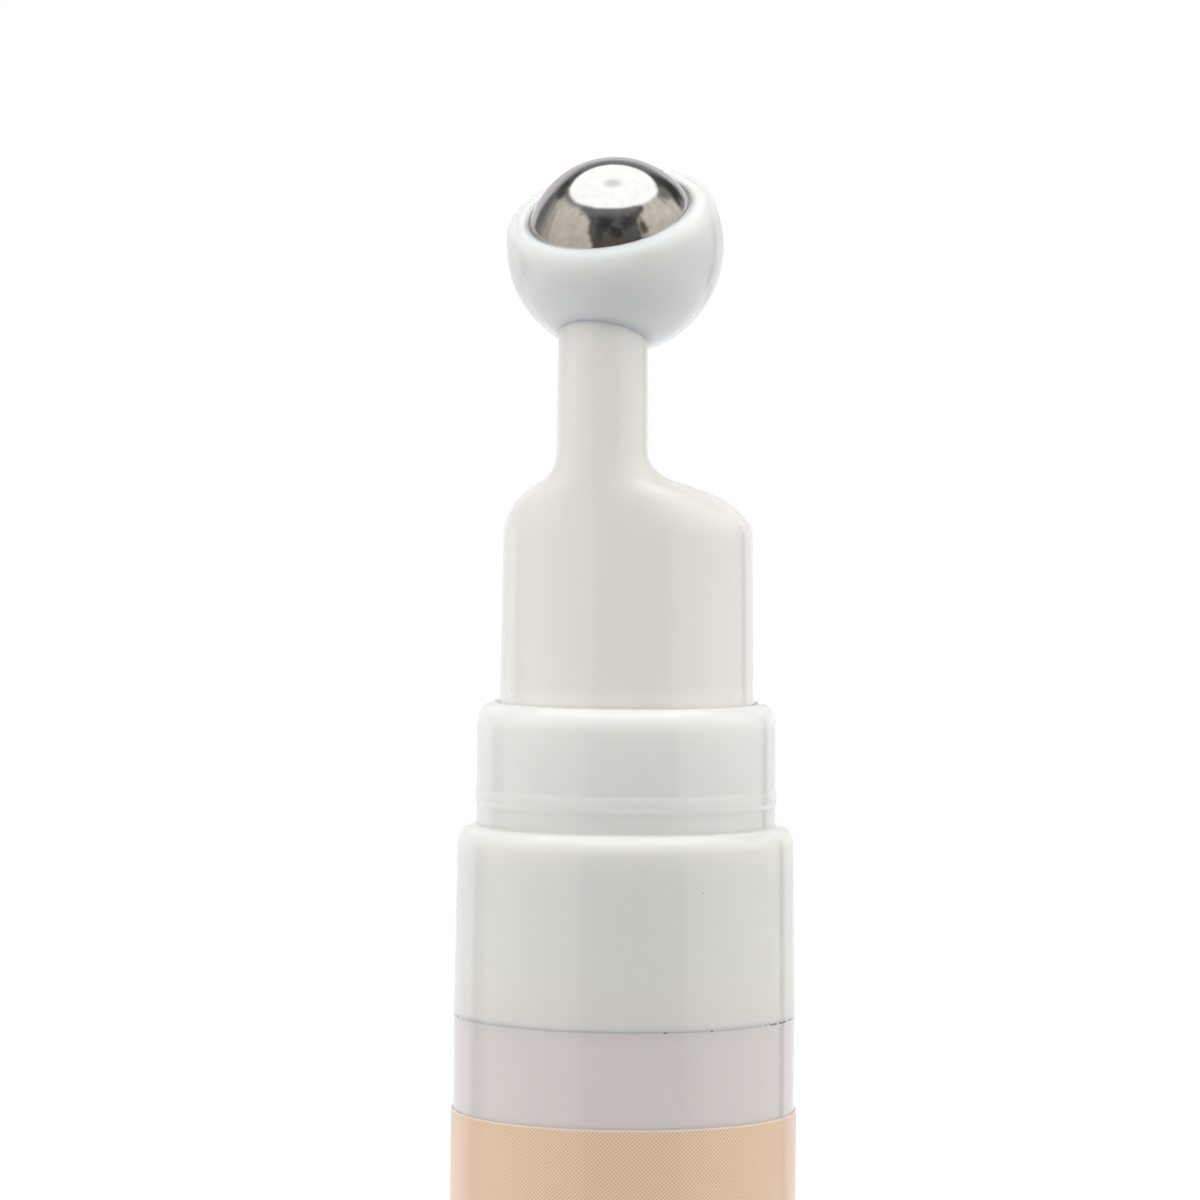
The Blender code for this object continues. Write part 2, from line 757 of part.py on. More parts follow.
def main():
    clear_scene()
    milky = material("milky_bottle", (0.66, 0.63, 0.61), 0.3)
    cool_white = material("cool_white_collar", (0.68, 0.68, 0.65), 0.28)
    warm_white = material("warm_white_head", (0.72, 0.69, 0.64), 0.28)
    bright_white = material("bright_white_cup", (0.8, 0.82, 0.81), 0.25)
    pump_white = material("pump_white", (0.75, 0.75, 0.74), 0.4)
    seal_grey = material("seal_grey", (0.6, 0.6, 0.6), 0.6)
    steel = material("polished_steel", (0.62, 0.6, 0.57), 0.06, 1.0)
    film = material("peach_label", (0.78, 0.58, 0.43), 0.5)

    bottle_root = pivot("bottle_root")
    follower_axis = pivot("follower_axis", (0, 0, follower_bottom))
    inlet_axis = pivot("inlet_axis", (0, 0, inlet_ball_level))
    plunger_axis = pivot("plunger_axis", (0, 0, piston_bottom))
    piston_axis = pivot("piston_axis", (0, 0, piston_bottom))
    head_axis = pivot("head_axis", (0, 0, skirt_bottom))
    roller_centre = pivot("roller_centre", cup_centre)

    make_base_cap(milky, bottle_root)
    make_bottle(milky, bottle_root)
    make_label(film, bottle_root)
    make_collar(cool_white, bottle_root)
    make_gasket(seal_grey, bottle_root)
    make_pump_body(pump_white, bottle_root)
    make_stem_guide(pump_white, bottle_root)
    make_valve_cage(pump_white, bottle_root)
    make_spring(steel, bottle_root)
    make_follower(pump_white, follower_axis)
    make_inlet_ball(steel, inlet_axis)
    make_pump_stem(pump_white, plunger_axis)
    make_stem_plug(pump_white, plunger_axis)
    make_piston_seal(seal_grey, piston_axis)
    make_head(warm_white, head_axis)
    make_flow_insert(pump_white, head_axis)
    make_ball_cup(bright_white, head_axis)
    make_roller_ball(steel, roller_centre)


main()
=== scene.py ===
# %% [markdown]
# # An eye serum bottle with a steel roller ball
# The real bottle is a slim milky tube with a peach label. A stepped collar holds a small pump,
# and the head on top presses it and carries the serum up an off-centre stem to a steel ball.
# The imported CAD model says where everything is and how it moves. This script gives it its looks:
# it builds finer outer pieces on the same places, makes every finish from nodes, and sets up a
# plain white studio. It starts by loading that fixed frame, so each size can be read from it.

# %% Load the fixed frame
import math

import bmesh
import bpy
from mathutils import Matrix, Vector


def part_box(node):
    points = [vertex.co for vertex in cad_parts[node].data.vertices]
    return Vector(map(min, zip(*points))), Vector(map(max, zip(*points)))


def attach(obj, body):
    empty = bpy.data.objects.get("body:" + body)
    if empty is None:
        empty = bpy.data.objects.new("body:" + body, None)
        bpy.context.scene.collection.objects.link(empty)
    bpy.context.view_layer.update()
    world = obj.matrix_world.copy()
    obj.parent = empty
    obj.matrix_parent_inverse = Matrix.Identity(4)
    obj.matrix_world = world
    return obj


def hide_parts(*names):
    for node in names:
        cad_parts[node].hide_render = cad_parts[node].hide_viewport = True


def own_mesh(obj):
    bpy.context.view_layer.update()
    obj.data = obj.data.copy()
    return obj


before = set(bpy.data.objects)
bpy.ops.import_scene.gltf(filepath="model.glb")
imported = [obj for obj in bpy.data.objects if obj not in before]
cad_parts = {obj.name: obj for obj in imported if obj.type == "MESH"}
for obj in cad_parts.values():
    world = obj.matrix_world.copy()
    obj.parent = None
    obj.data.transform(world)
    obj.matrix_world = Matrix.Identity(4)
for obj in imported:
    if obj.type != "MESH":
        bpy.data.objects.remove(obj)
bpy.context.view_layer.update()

# %% [markdown]
# ## Sizes from the frame
# A measurement is safest when it is read from the thing itself. The box of a CAD node gives its
# outer sizes and levels. What a box can't show, such as a wall, is written down once in
# millimetres, here or at the step that needs it.

# %% Read the main sizes
MM = 0.001


def top_of(node):
    """The highest level of a CAD node."""
    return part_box(node)[1].z


def foot_of(node):
    """The lowest level of a CAD node."""
    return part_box(node)[0].z


def radius_of(node):
    """The largest radius of a node that is turned about the bottle's axis."""
    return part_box(node)[1].x


ball_low, ball_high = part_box("roller_ball")
ball_centre = (ball_low + ball_high) / 2
ball_radius = (ball_high.z - ball_low.z) / 2
cup_wall = 0.97 * MM
ball_gap = 0.15 * MM
cup_radius = ball_radius + ball_gap + cup_wall
bottle_radius = radius_of("bottle")
neck_step = 1.35 * MM
neck_radius = bottle_radius - neck_step
collar_top = top_of("shoulder_collar")
skirt_radius = radius_of("applicator_head")
head_draft = 0.21 * MM
head_top_radius = skirt_radius - head_draft
stem_offset = 4.54 * MM
stem_radius = head_top_radius - stem_offset
seam_level = 80 * MM
print(f"ball: {2 * ball_radius / MM:.1f} mm across, its centre {ball_centre.z / MM:.1f} mm up")

# %% [markdown]
# ## The camera
# Small things are photographed from some way off with a long lens, which keeps their sides nearly
# parallel. The camera stands a little to the right of the bottle's front, just above the collar,
# and looks slightly down. The picture is cropped, so the bottle runs out of its lower edge.

# %% Place the camera
camera_azimuth = math.radians(19.4)
camera_distance = 307 * MM
camera_height = 115.4 * MM
camera_pitch = math.radians(2.2)
camera_roll = math.radians(0.46)
camera_aside = 1.57 * MM  # how far left of the bottle's axis it aims

toward_camera = Vector((math.sin(camera_azimuth), -math.cos(camera_azimuth), 0))
camera_right = Vector((math.cos(camera_azimuth), math.sin(camera_azimuth), 0))
camera_data = bpy.data.cameras.new("camera")
camera_data.lens = 161.8
camera_data.sensor_width = 36
camera_data.clip_start = 10 * MM
camera_data.clip_end = 100
camera = bpy.data.objects.new("camera", camera_data)
bpy.context.scene.collection.objects.link(camera)
place = toward_camera * camera_distance - camera_right * camera_aside
place.z = camera_height
turn = Matrix.Rotation(camera_azimuth, 4, "Z")
turn = turn @ Matrix.Rotation(math.radians(90) - camera_pitch, 4, "X")
turn = turn @ Matrix.Rotation(camera_roll, 4, "Z")
camera.matrix_world = Matrix.Translation(place) @ turn
bpy.context.scene.camera = camera
bpy.context.scene.view_settings.view_transform = "Standard"
print(f"camera: {camera_distance / MM:.0f} mm away, lens {camera_data.lens} mm")

# %% [markdown]
# ## Nodes without repetition
# A finish is a small graph of nodes. Each can be clicked together in the shader editor, or made in
# code. One helper adds a node, sets its options and plugs in its inputs, and a few more built on it
# keep every graph short enough to read as a recipe.

# %% Helpers for node graphs


def add_node(tree, kind, options=None, **inputs):
    """Adds a node. An input goes by its name, with _ for each space, or by its number, as in0. A
    socket is linked to it and a value is set."""
    node = tree.nodes.new("ShaderNode" + kind)
    for name, value in (options or {}).items():
        setattr(node, name, value)
    for name, value in inputs.items():
        key = int(name[2:]) if name[:2] == "in" and name[2:].isdigit() else name.replace("_", " ")
        if isinstance(value, bpy.types.NodeSocket):
            tree.links.new(value, node.inputs[key])
        else:
            node.inputs[key].default_value = value
    return node


def maths(tree, operation, *values):
    """One step of arithmetic on sockets or numbers."""
    inputs = {f"in{i}": value for i, value in enumerate(values)}
    return add_node(tree, "Math", {"operation": operation}, **inputs).outputs[0]


def diagonal(tree, *sides):
    """The diagonal of a rectangle, from its two sides."""
    squares = [maths(tree, "POWER", side, 2.0) for side in sides]
    return maths(tree, "SQRT", maths(tree, "ADD", *squares))


def vectors(tree, operation, first, second):
    """One step of arithmetic on vectors or colours."""
    return add_node(tree, "VectorMath", {"operation": operation}, in0=first, in1=second).outputs[0]


def length(tree, vector):
    """How long a vector is."""
    return add_node(tree, "VectorMath", {"operation": "LENGTH"}, in0=vector).outputs["Value"]


def blend_colour(tree, share, first, second):
    """Mixes two colours, each a socket or four numbers."""
    node = add_node(tree, "Mix", {"data_type": "RGBA"}, in0=share, in6=first, in7=second)
    return node.outputs[2]


def rescale(tree, value, start, end, low=0.0, high=1.0, curve="LINEAR"):
    """A value that goes from low to high as another goes from start to end."""
    return add_node(
        tree, "MapRange", {"interpolation_type": curve},
        Value=value, From_Min=start, From_Max=end, To_Min=low, To_Max=high,
    ).outputs[0]


def place_on(tree):
    """Where a point lies on its piece, in metres from the origin."""
    return add_node(tree, "TexCoord").outputs["Object"]


def mapped(tree, at, **how):
    """Coordinates that are turned or stretched."""
    return add_node(tree, "Mapping", Vector=at, **how).outputs[0]


def parts(tree, vector):
    """The X, Y and Z of a vector."""
    return add_node(tree, "SeparateXYZ", Vector=vector).outputs


def depth_in(tree, value, low, high):
    """How far a value lies inside a range. It is less than 0 outside."""
    above, below = maths(tree, "SUBTRACT", value, low), maths(tree, "SUBTRACT", high, value)
    return maths(tree, "MINIMUM", above, below)


def noise(tree, at, scale, detail, roughness=0.5):
    """Soft random blotches between 0 and 1."""
    node = add_node(tree, "TexNoise", Vector=at, Scale=scale, Detail=detail, Roughness=roughness)
    return node.outputs["Fac"]


def dents(tree, height, depth, under=None):
    """Tilts the light on a surface as if it had this height, over an earlier one if there is any."""
    more = {} if under is None else {"Normal": under}
    return add_node(tree, "Bump", Height=height, Distance=depth, Strength=1.0, **more).outputs[0]


def new_tree(name):
    """An empty node graph in a new material."""
    material = bpy.data.materials.new(name)
    material.use_nodes = True
    material.node_tree.nodes.clear()
    return material, material.node_tree


def end_in_shader(material, **inputs):
    """Ends a finish in the Principled shader, which suits most real surfaces."""
    shader = add_node(material.node_tree, "BsdfPrincipled", **inputs)
    add_node(material.node_tree, "OutputMaterial", Surface=shader.outputs[0])
    return material


print("helpers for arithmetic, noise, dents and shaders")

# %% [markdown]
# ## The white world and the floor
# A white background could be made by flooding the scene with light, but that washes out a white
# bottle. Here the background is white only to the rays that look at it, straight or by way of a
# mirror, and the light that falls on the bottle is a separate, plainer grey. Near the bottle the
# floor glows less, so that its shadow still shows.

# %% World and floor
sky_light = 0.2  # what falls on the bottle from all round
near_glow, far_glow = 0.42, 1.0  # lift the floor towards white where it is seen
glow_reach = 0.45  # metres from the bottle at which the floor is all glow
floor_grey = 0.5
floor_size = 8  # metres, so that its edges are out of sight


def clear_selection():
    """Operators act on all that is selected, so nothing may stay selected."""
    bpy.ops.object.select_all(action="DESELECT")


def seen_share(tree):
    """1 for rays that look at the background: from the camera, off a gloss or through glass."""
    path = add_node(tree, "LightPath")
    seen = maths(tree, "MAXIMUM", path.outputs["Is Camera Ray"], path.outputs["Is Glossy Ray"])
    return maths(tree, "MAXIMUM", seen, path.outputs["Is Transmission Ray"])


world = bpy.data.worlds.new("white_studio")
bpy.context.scene.world = world
world.use_nodes = True
tree = world.node_tree
tree.nodes.clear()
strength = maths(tree, "MULTIPLY_ADD", seen_share(tree), 1 - sky_light, sky_light)
glow = add_node(tree, "Background", Color=(1, 1, 1, 1), Strength=strength)
add_node(tree, "OutputWorld", Surface=glow.outputs[0])

paper, tree = new_tree("floor_paper")
matt = add_node(tree, "BsdfDiffuse", Color=(floor_grey, floor_grey, floor_grey, 1))
rising = rescale(tree, length(tree, place_on(tree)), 0.0, glow_reach, near_glow, far_glow)
strength = maths(tree, "MULTIPLY", seen_share(tree), rising)
glow = add_node(tree, "Emission", Color=(1, 1, 1, 1), Strength=strength)
both = add_node(tree, "AddShader", in0=matt.outputs[0], in1=glow.outputs[0])
add_node(tree, "OutputMaterial", Surface=both.outputs[0])

clear_selection()
bpy.ops.mesh.primitive_plane_add(size=floor_size)
floor = bpy.context.active_object
floor.name = "floor"
floor.data.materials.append(paper)
print("floor and world are white to the camera")

# %% [markdown]
# ## The lamps
# Milky plastic looks soft because its light is: a wide lamp overhead, and a tall one on each side,
# so that the edges are brighter than the middle. Two weak ones nearer the camera fill the front,
# and one behind keeps the back from going dull and lines the shoulder with light.
# None of them shows as a reflection, because the tent in the next step gives the gloss something
# to mirror.

# %% Six soft lamps
lamp_aim = Vector((0, 0, 100 * MM))


def add_lamp(name, azimuth, elevation, power, distance, width, height):
    """A soft panel that faces the bottle, at angles in degrees from the camera's side."""
    data = bpy.data.lights.new(name, "AREA")
    data.shape = "ELLIPSE"
    data.size = width
    data.size_y = height
    data.energy = power
    lamp = bpy.data.objects.new(name, data)
    bpy.context.scene.collection.objects.link(lamp)
    a, e = math.radians(azimuth), math.radians(elevation)
    level = toward_camera * math.cos(a) + camera_right * math.sin(a)
    away = level * math.cos(e) + Vector((0, 0, math.sin(e)))
    lamp.location = lamp_aim + away * distance
    lamp.rotation_mode = "QUATERNION"
    lamp.rotation_quaternion = (-away).to_track_quat("-Z", "Y")
    lamp.visible_glossy = lamp.visible_camera = False


wide_panel = {"distance": 0.55, "width": 1.0, "height": 1.0}
tall_panel = {"distance": 0.8, "width": 0.5, "height": 0.9}
lamps = [
    ("top_lamp", 0, 90, 5.8, wide_panel),
    ("left_lamp", -72, 8, 4.2, tall_panel),
    ("right_lamp", 72, 8, 3.7, tall_panel),
    ("left_fill", -40, 8, 0.43, tall_panel),
    ("right_fill", 40, 8, 0.7, tall_panel),
    ("back_lamp", 180, 8, 1.6, tall_panel),
]
for *settings, panel in lamps:
    add_lamp(*settings, **panel)
print(f"{len(lamps)} lamps, {sum(lamp[3] for lamp in lamps):.1f} watts in all")

# %% [markdown]
# ## The tent of reflections
# A steel ball is a mirror, so what it shows is the studio: a white diffuser with eight soft corners
# overhead, pale panels on both sides, dark gaps, a dark patch where the camera stands and a grey
# wall behind. The same surroundings draw the thin dark lines and the bright rim along every glossy
# edge. Real cards could be hung one by one, but a dome with the cards painted on by angle is
# easier to tune. It is seen only by glossy rays, so it neither lights nor shades anything. The
# walls are seen from slightly above and mirror what is slightly below them, so the dome is small
# enough to come between the bottle and the far floor.

# %% Angles on the tent
tent_radius = 0.45
tent_lean = math.radians(-1.3)
waver_span = 7.0  # degrees over which the edges of the cards wander

paint, tree = new_tree("tent_paint")
at = add_node(tree, "VectorMath", {"operation": "NORMALIZE"}, in0=place_on(tree)).outputs["Vector"]
x, y, z = parts(tree, at)
waver = maths(tree, "MULTIPLY_ADD", noise(tree, at, 4.4, 3.0), waver_span, -waver_span / 2)
azimuth = maths(tree, "ARCTAN2", x, maths(tree, "MULTIPLY", y, -1.0))
azimuth = maths(tree, "MULTIPLY_ADD", azimuth, math.degrees(1), waver)
rise = maths(tree, "MULTIPLY", waver, 0.5)
rise = maths(tree, "MULTIPLY_ADD", maths(tree, "ARCSINE", z), math.degrees(1), rise)
ragged = maths(tree, "MULTIPLY_ADD", noise(tree, at, 11.0, 1.0), 1.6, 0.2)  # about 1, for uneven rims


def between(socket, low, high, soft):
    """1 where a value lies between two others, fading out over a soft border."""
    return rescale(tree, depth_in(tree, socket, low, high), -soft, soft)


def hang_card(below, left, right, foot, top, soft, colour):
    """Paints a card between two azimuths and two elevations, in degrees, over what is there."""
    share = maths(tree, "MULTIPLY", between(azimuth, left, right, soft), between(rise, foot, top, soft))
    return blend_colour(tree, share, below, (*colour, 1))


def smudge(below, aside, up, wide, tall, lean, colour, strength=1.0):
    """Paints a soft oval about one direction, leaning so many degrees of azimuth for each one up."""
    over = maths(tree, "SUBTRACT", rise, up)
    along = maths(tree, "MULTIPLY_ADD", over, -lean, maths(tree, "SUBTRACT", azimuth, aside))
    sides = maths(tree, "DIVIDE", along, wide), maths(tree, "DIVIDE", over, tall)
    out = maths(tree, "MULTIPLY", diagonal(tree, *sides), ragged)
    share = rescale(tree, out, 1.4, 0.3, high=strength, curve="SMOOTHSTEP")
    return blend_colour(tree, share, below, (*colour, 1))


print(f"angles on a dome {2 * tent_radius:.1f} m across, which waver over {waver_span:.0f} degrees")

# %% Hang the cards
back_wall = (0.84, 0.81, 0.86)
low_back = (1.15, 1.13, 1.18)
side_panel = (0.9, 0.83, 0.74)
high_side = (1.02, 0.945, 0.85)
low_side = (1.05, 0.99, 0.92)
patch = (0.17, 0.17, 0.165)
patch_low = (0.15, 0.125, 0.11)
cards = [  # left, right, foot, top, softness of the border, colour
    (-200, 200, -60, 2, 4, low_back),
    (-200, 200, 35, 60, 6, (0.3, 0.3, 0.31)),
    (-110, 122, -60, 60, 3, side_panel),
    (-110, 118, 28, 60, 5, high_side),
    (-112, 126, -60, -4, 3, low_side),
    (-106, -40, -2, 9, 4, (0.8, 0.745, 0.67)),
    (-124, -108, -60, 36, 2.5, (0.42, 0.4, 0.37)),
    (-124, -110, -60, -4, 2, (0.26, 0.25, 0.24)),
    (-138, -121, 4, 60, 4, (0.27, 0.27, 0.265)),
    (127.5, 137, -60, 18, 1.2, (0.17, 0.17, 0.17)),
    (116, 150, 25, 60, 5, (0.12, 0.12, 0.12)),
    (-112, -48, 43, 60, 3, (0.38, 0.38, 0.37)),
    (-41, 37, 31, 60, 2.5, patch),
    (-35.5, 32, 13, 60, 2, patch),
    (-33, 34, 3, 18, 2, patch),
    (-30.5, 40, -60, 8, 2, patch_low),
    (-44, 46, 39, 60, 5, (0.3, 0.3, 0.295)),
]
smudges = [  # aside, up, width, height, lean, colour, and how strong if not fully
    (-15, 27, 13, 10, 0.3, (0.06, 0.06, 0.06)),
    (19, 28, 12, 10, 0.5, (0.075, 0.075, 0.075)),
    (-1, 16, 9, 9, -0.5, (0.06, 0.06, 0.06)),
    (-21, 14, 7, 12, 0, (0.09, 0.09, 0.085)),
    (39, 21, 6.5, 13, 0, (0.15, 0.14, 0.12)),
    (40, 42, 7, 9, 1.2, (0.15, 0.15, 0.145)),
    (-45, 43, 14, 6, 0, (0.27, 0.27, 0.26)),
    (-130, 42, 22, 7, 0, (0.09, 0.09, 0.09)),
    (-128, 24, 11, 16, 0, (0.22, 0.22, 0.215), 0.6),
    (-104, 18, 9, 24, 0, (0.52, 0.48, 0.42), 0.7),
    (112, 44, 18, 9, -1.0, (0.3, 0.3, 0.3)),
    (136, 35, 13, 11, -0.4, (0.07, 0.07, 0.07)),
]
table = (-200, 200, -95, -32, 8, (0.6, 0.6, 0.62))  # below the rest and painted over them
now = add_node(tree, "RGB").outputs[0]
now.default_value = (*back_wall, 1)
for card in cards:
    now = hang_card(now, *card)
for spot in smudges:
    now = smudge(now, *spot)
now = hang_card(now, *table)
blotch = noise(tree, at, 6.8, 2.0, roughness=0.6)
mottle = rescale(tree, blotch, 0.3, 0.7, low=0.8)
now = blend_colour(tree, mottle, (0, 0, 0, 1), now)
print(f"tent: {len(cards) + 1} cards and {len(smudges)} smudges")

# %% Add the diffuser overhead
diffuser_reach = math.tan(math.radians(90 - 49.8))  # its frame ends 49.8 degrees up
diffuser_centre = (-0.02, -0.055)  # a little left of the ball and in front of it
diffuser_turn = math.radians(9.5)
diffuser_edge, diffuser_waver = 0.05, 0.008
round_share = 0.6  # the cloth bulges, which softens the frame's corners
spot_reach = math.tan(math.radians(7))  # a duller spot in its middle

x, y, z = parts(tree, mapped(tree, at, Rotation=(0, 0, diffuser_turn)))
height = maths(tree, "MAXIMUM", z, 0.001)  # never nought, because it divides
across, deep = [
    maths(tree, "ABSOLUTE", maths(tree, "SUBTRACT", maths(tree, "DIVIDE", side, height), centre))
    for side, centre in zip((x, y), diffuser_centre)
]
corner = maths(tree, "MULTIPLY", maths(tree, "ADD", across, deep), math.sqrt(0.5))
eight_sided = maths(tree, "MAXIMUM", maths(tree, "MAXIMUM", across, deep), corner)
rounder = maths(tree, "SUBTRACT", diagonal(tree, across, deep), eight_sided)
outline = maths(tree, "MULTIPLY_ADD", rounder, round_share, eight_sided)
outline = maths(tree, "MULTIPLY_ADD", waver, diffuser_waver, outline)
diffuser = between(outline, -1, diffuser_reach, diffuser_edge)
now = blend_colour(tree, diffuser, now, rescale(tree, blotch, 0.3, 0.7, 1.65, 1.85))
spot = between(outline, -1, spot_reach, diffuser_edge)
now = blend_colour(tree, spot, now, (1.2, 1.2, 1.15, 1))
glow = add_node(tree, "Emission", Color=now, Strength=1.0)
add_node(tree, "OutputMaterial", Surface=glow.outputs[0])
paint.cycles.emission_sampling = "NONE"

clear_selection()
bpy.ops.mesh.primitive_uv_sphere_add(segments=128, ring_count=64, radius=tent_radius)
tent = bpy.context.active_object
tent.name = "reflection_tent"
bpy.ops.object.shade_smooth()
tent.location = ball_centre
tent.rotation_euler = (0, tent_lean, camera_azimuth)
tent.data.materials.append(paint)
for ray in ("camera", "diffuse", "transmission", "volume_scatter", "shadow"):
    setattr(tent, "visible_" + ray, False)
print("the tent is seen in reflections only")

# %% [markdown]
# ## Milky plastic
# The collar, head, cup and tube are moulded polypropylene. It isn't painted: light enters a little
# way and comes out again beside where it went in, which is what subsurface scattering does. On
# top is the gloss of a polished mould, with a faint orange-peel ripple, a slight cloudiness in
# the colour, and here and there a tiny dark speck. Noise on Object coordinates keeps each of
# them at its real size on every piece. Some light and shade is painted into the colour as well.
# Light that comes through a thin wall from behind makes it paler, so the collar is painted paler
# high up and warmer at its foot, by the peach label below, and the cup is painted lighter
# underneath, where light bounces up. Near the seam and the joints between pieces the colour is
# lifted, as painted light against the shade in the gaps.

# %% A recipe for moulded plastic
scatter_reach = 1.6 * MM
cloudiness = 0.02
grime_reach = 0.05 * MM
peel_depth, wave_depth = 0.0015 * MM, 0.006 * MM
black, white = (0, 0, 0), (1, 1, 1)
speck_brown, grime_brown = (0.2, 0.15, 0.1, 1), (0.25, 0.14, 0.07, 1)


def ramp(tree, socket, stops):
    """A colour ramp from a list of (place, colour) stops."""
    node = add_node(tree, "ValToRGB", Fac=socket)
    elements = node.color_ramp.elements
    while len(elements) < len(stops):
        elements.new(0.5)
    for element, (place, colour) in zip(elements, stops):
        element.position = place
        element.color = (*colour, 1)
    return node.outputs["Color"]


def moulded_plastic(
    name, colour, roughness=0.1, specks=True, dirt_level=None, depth=0.6, reach=scatter_reach,
    painted_light_tones=None, lean=0.0, pivot=(0, 0, 0), joints=(),
):
    """Milky moulded plastic. With a dirt level, brown grime lies in the seam there. Each painted tone
    is a (height, colour) pair along an axis that leans forward at a pivot; together they paint light
    and shade into the colour. Each joint is a centre, the axes that count, a radius, a reach and a
    lift: within reach of it the colour is lifted, as painted light that gives back the light that
    scattering and shade lose in the gap between two pieces."""
    material, tree = new_tree(name)
    at = place_on(tree)
    cloud = maths(tree, "MULTIPLY", noise(tree, at, 160.0, 3.0), 0.65)
    flow = noise(tree, mapped(tree, at, Scale=(1.0, 1.0, 0.06)), 900.0, 2.0)
    tone = maths(tree, "MULTIPLY_ADD", flow, 0.35, cloud)
    light = (*[min(1, c * (1 + cloudiness)) for c in colour], 1)
    dark = (*[c * (1 - cloudiness) for c in colour], 1)
    skin = blend_colour(tree, tone, dark, light)
    if specks:
        cells = add_node(tree, "TexVoronoi", Vector=at, Scale=420.0)
        speck = ramp(tree, cells.outputs["Distance"], [(0.012, white), (0.026, black)])
        skin = blend_colour(tree, speck, skin, speck_brown)
    if dirt_level is not None:
        off = maths(tree, "ABSOLUTE", maths(tree, "SUBTRACT", parts(tree, at)["Z"], dirt_level))
        near = maths(tree, "LESS_THAN", off, grime_reach)
        grime = maths(tree, "MULTIPLY", noise(tree, at, 2600.0, 2.0), noise(tree, at, 150.0, 1.0))
        stain = ramp(tree, grime, [(0.3, black), (0.34, white)])
        skin = blend_colour(tree, maths(tree, "MULTIPLY", near, stain), skin, grime_brown)
    # painted light and shade: the colour is multiplied by tones along the leaning axis
    if painted_light_tones:
        upright = mapped(tree, vectors(tree, "SUBTRACT", at, pivot), Rotation=(-lean, 0, 0))
        lowest, highest = painted_light_tones[0][0], painted_light_tones[-1][0]
        share = rescale(tree, parts(tree, upright)["Z"], lowest, highest)
        stops = [((level - lowest) / (highest - lowest), tone) for level, tone in painted_light_tones]
        skin = vectors(tree, "MULTIPLY", skin, ramp(tree, share, stops))
    # painted light: the colour is lifted near each joint, where the gap would shade it
    for centre, axes, radius, span, lift in joints:
        away = vectors(tree, "MULTIPLY", vectors(tree, "SUBTRACT", at, centre), axes)
        close = rescale(tree, length(tree, away), radius, radius + span, 1.0, 0.0)
        lifted = maths(tree, "MULTIPLY_ADD", maths(tree, "POWER", close, 2.0), lift, 1.0)
        skin = vectors(tree, "MULTIPLY", skin, lifted)
    peel = noise(tree, at, 1300.0, 2.0)
    rough = maths(tree, "MULTIPLY_ADD", peel, 0.04, roughness - 0.02)
    ripple = dents(tree, noise(tree, at, 220.0, 1.0), wave_depth, dents(tree, peel, peel_depth))
    return end_in_shader(
        material, Base_Color=skin, Roughness=rough, Normal=ripple, IOR=1.49, Subsurface_Weight=depth,
        Subsurface_Radius=(1.0, 0.9, 0.8), Subsurface_Scale=reach,
    )


# painted light: the wall is paler high up, where light comes through it from behind, and warmer at the
# foot, as light from the peach label below
collar_painted_light = [
    (80 * MM, (0.915, 0.87, 0.855)),
    (83 * MM, (0.895, 0.89, 0.88)),
    (88 * MM, (0.89, 0.89, 0.89)),
    (98 * MM, white),
]
# painted light and shade along the cup's height: lightest underneath, where light bounces up from below
cup_painted_light = [  # heights from the ball's middle
    (-6 * MM, (0.97, 0.97, 1.0)),
    (-4 * MM, (0.87, 0.87, 0.89)),
    (-1 * MM, (0.8, 0.79, 0.78)),
    (1 * MM, (0.815, 0.81, 0.765)),
    (2 * MM, (0.85, 0.86, 0.78)),
]
# the seam joints paint light on the tube and the collar, lifting the colour where the gap shades it
level_seam = ((0, 0, seam_level), (0, 0, 1), 0)
milky_bottle = moulded_plastic(
    "milky_bottle", (0.642, 0.597, 0.573), dirt_level=seam_level,
    joints=[(*level_seam, 0.5 * MM, 0.1), (*level_seam, 0.2 * MM, 0.3)],
)
cool_white = moulded_plastic(
    "cool_white_collar", (0.766, 0.762, 0.712), dirt_level=seam_level, depth=0.8, reach=2.4 * MM,
    painted_light_tones=collar_painted_light, joints=[(*level_seam, 0.9 * MM, 0.25)],
)
warm_white = moulded_plastic(
    "warm_white_head", (0.733, 0.716, 0.668),
    # painted light: the head is lifted where the cup and the collar's top would shade it
    joints=[
        (ball_centre, (1, 1, 1), cup_radius, 0.5 * MM, 0.28),
        ((0, 0, collar_top), (0, 0, 1), 0, 1.6 * MM, 0.16),
    ],
)
bright_white = moulded_plastic(
    "bright_white_cup", (0.85, 0.85, 0.85), depth=1.0, reach=4.0 * MM,
    painted_light_tones=cup_painted_light, lean=math.radians(28), pivot=ball_centre,
    # painted light: the cup is lifted round the stem, where the joint would shade it
    joints=[((0, -stem_offset, 0), (1, 1, 0), stem_radius, 1.5 * MM, 0.27)],
)
pump_white = moulded_plastic("pump_white", (0.75, 0.75, 0.73), roughness=0.3, specks=False)
print("five plastics with cloud, flow and ripple, all but the pump's with specks")

# %% [markdown]
# ## Steel and seal
# The roller ball is polished steel: fully metallic and nearly a mirror, with a haze of fine
# scratches that softens the borders of what it shows. The seals are a soft grey plastic, matt and
# slightly grainy, and the spring is drawn wire with marks along its length.

# %% Steel and seal recipes


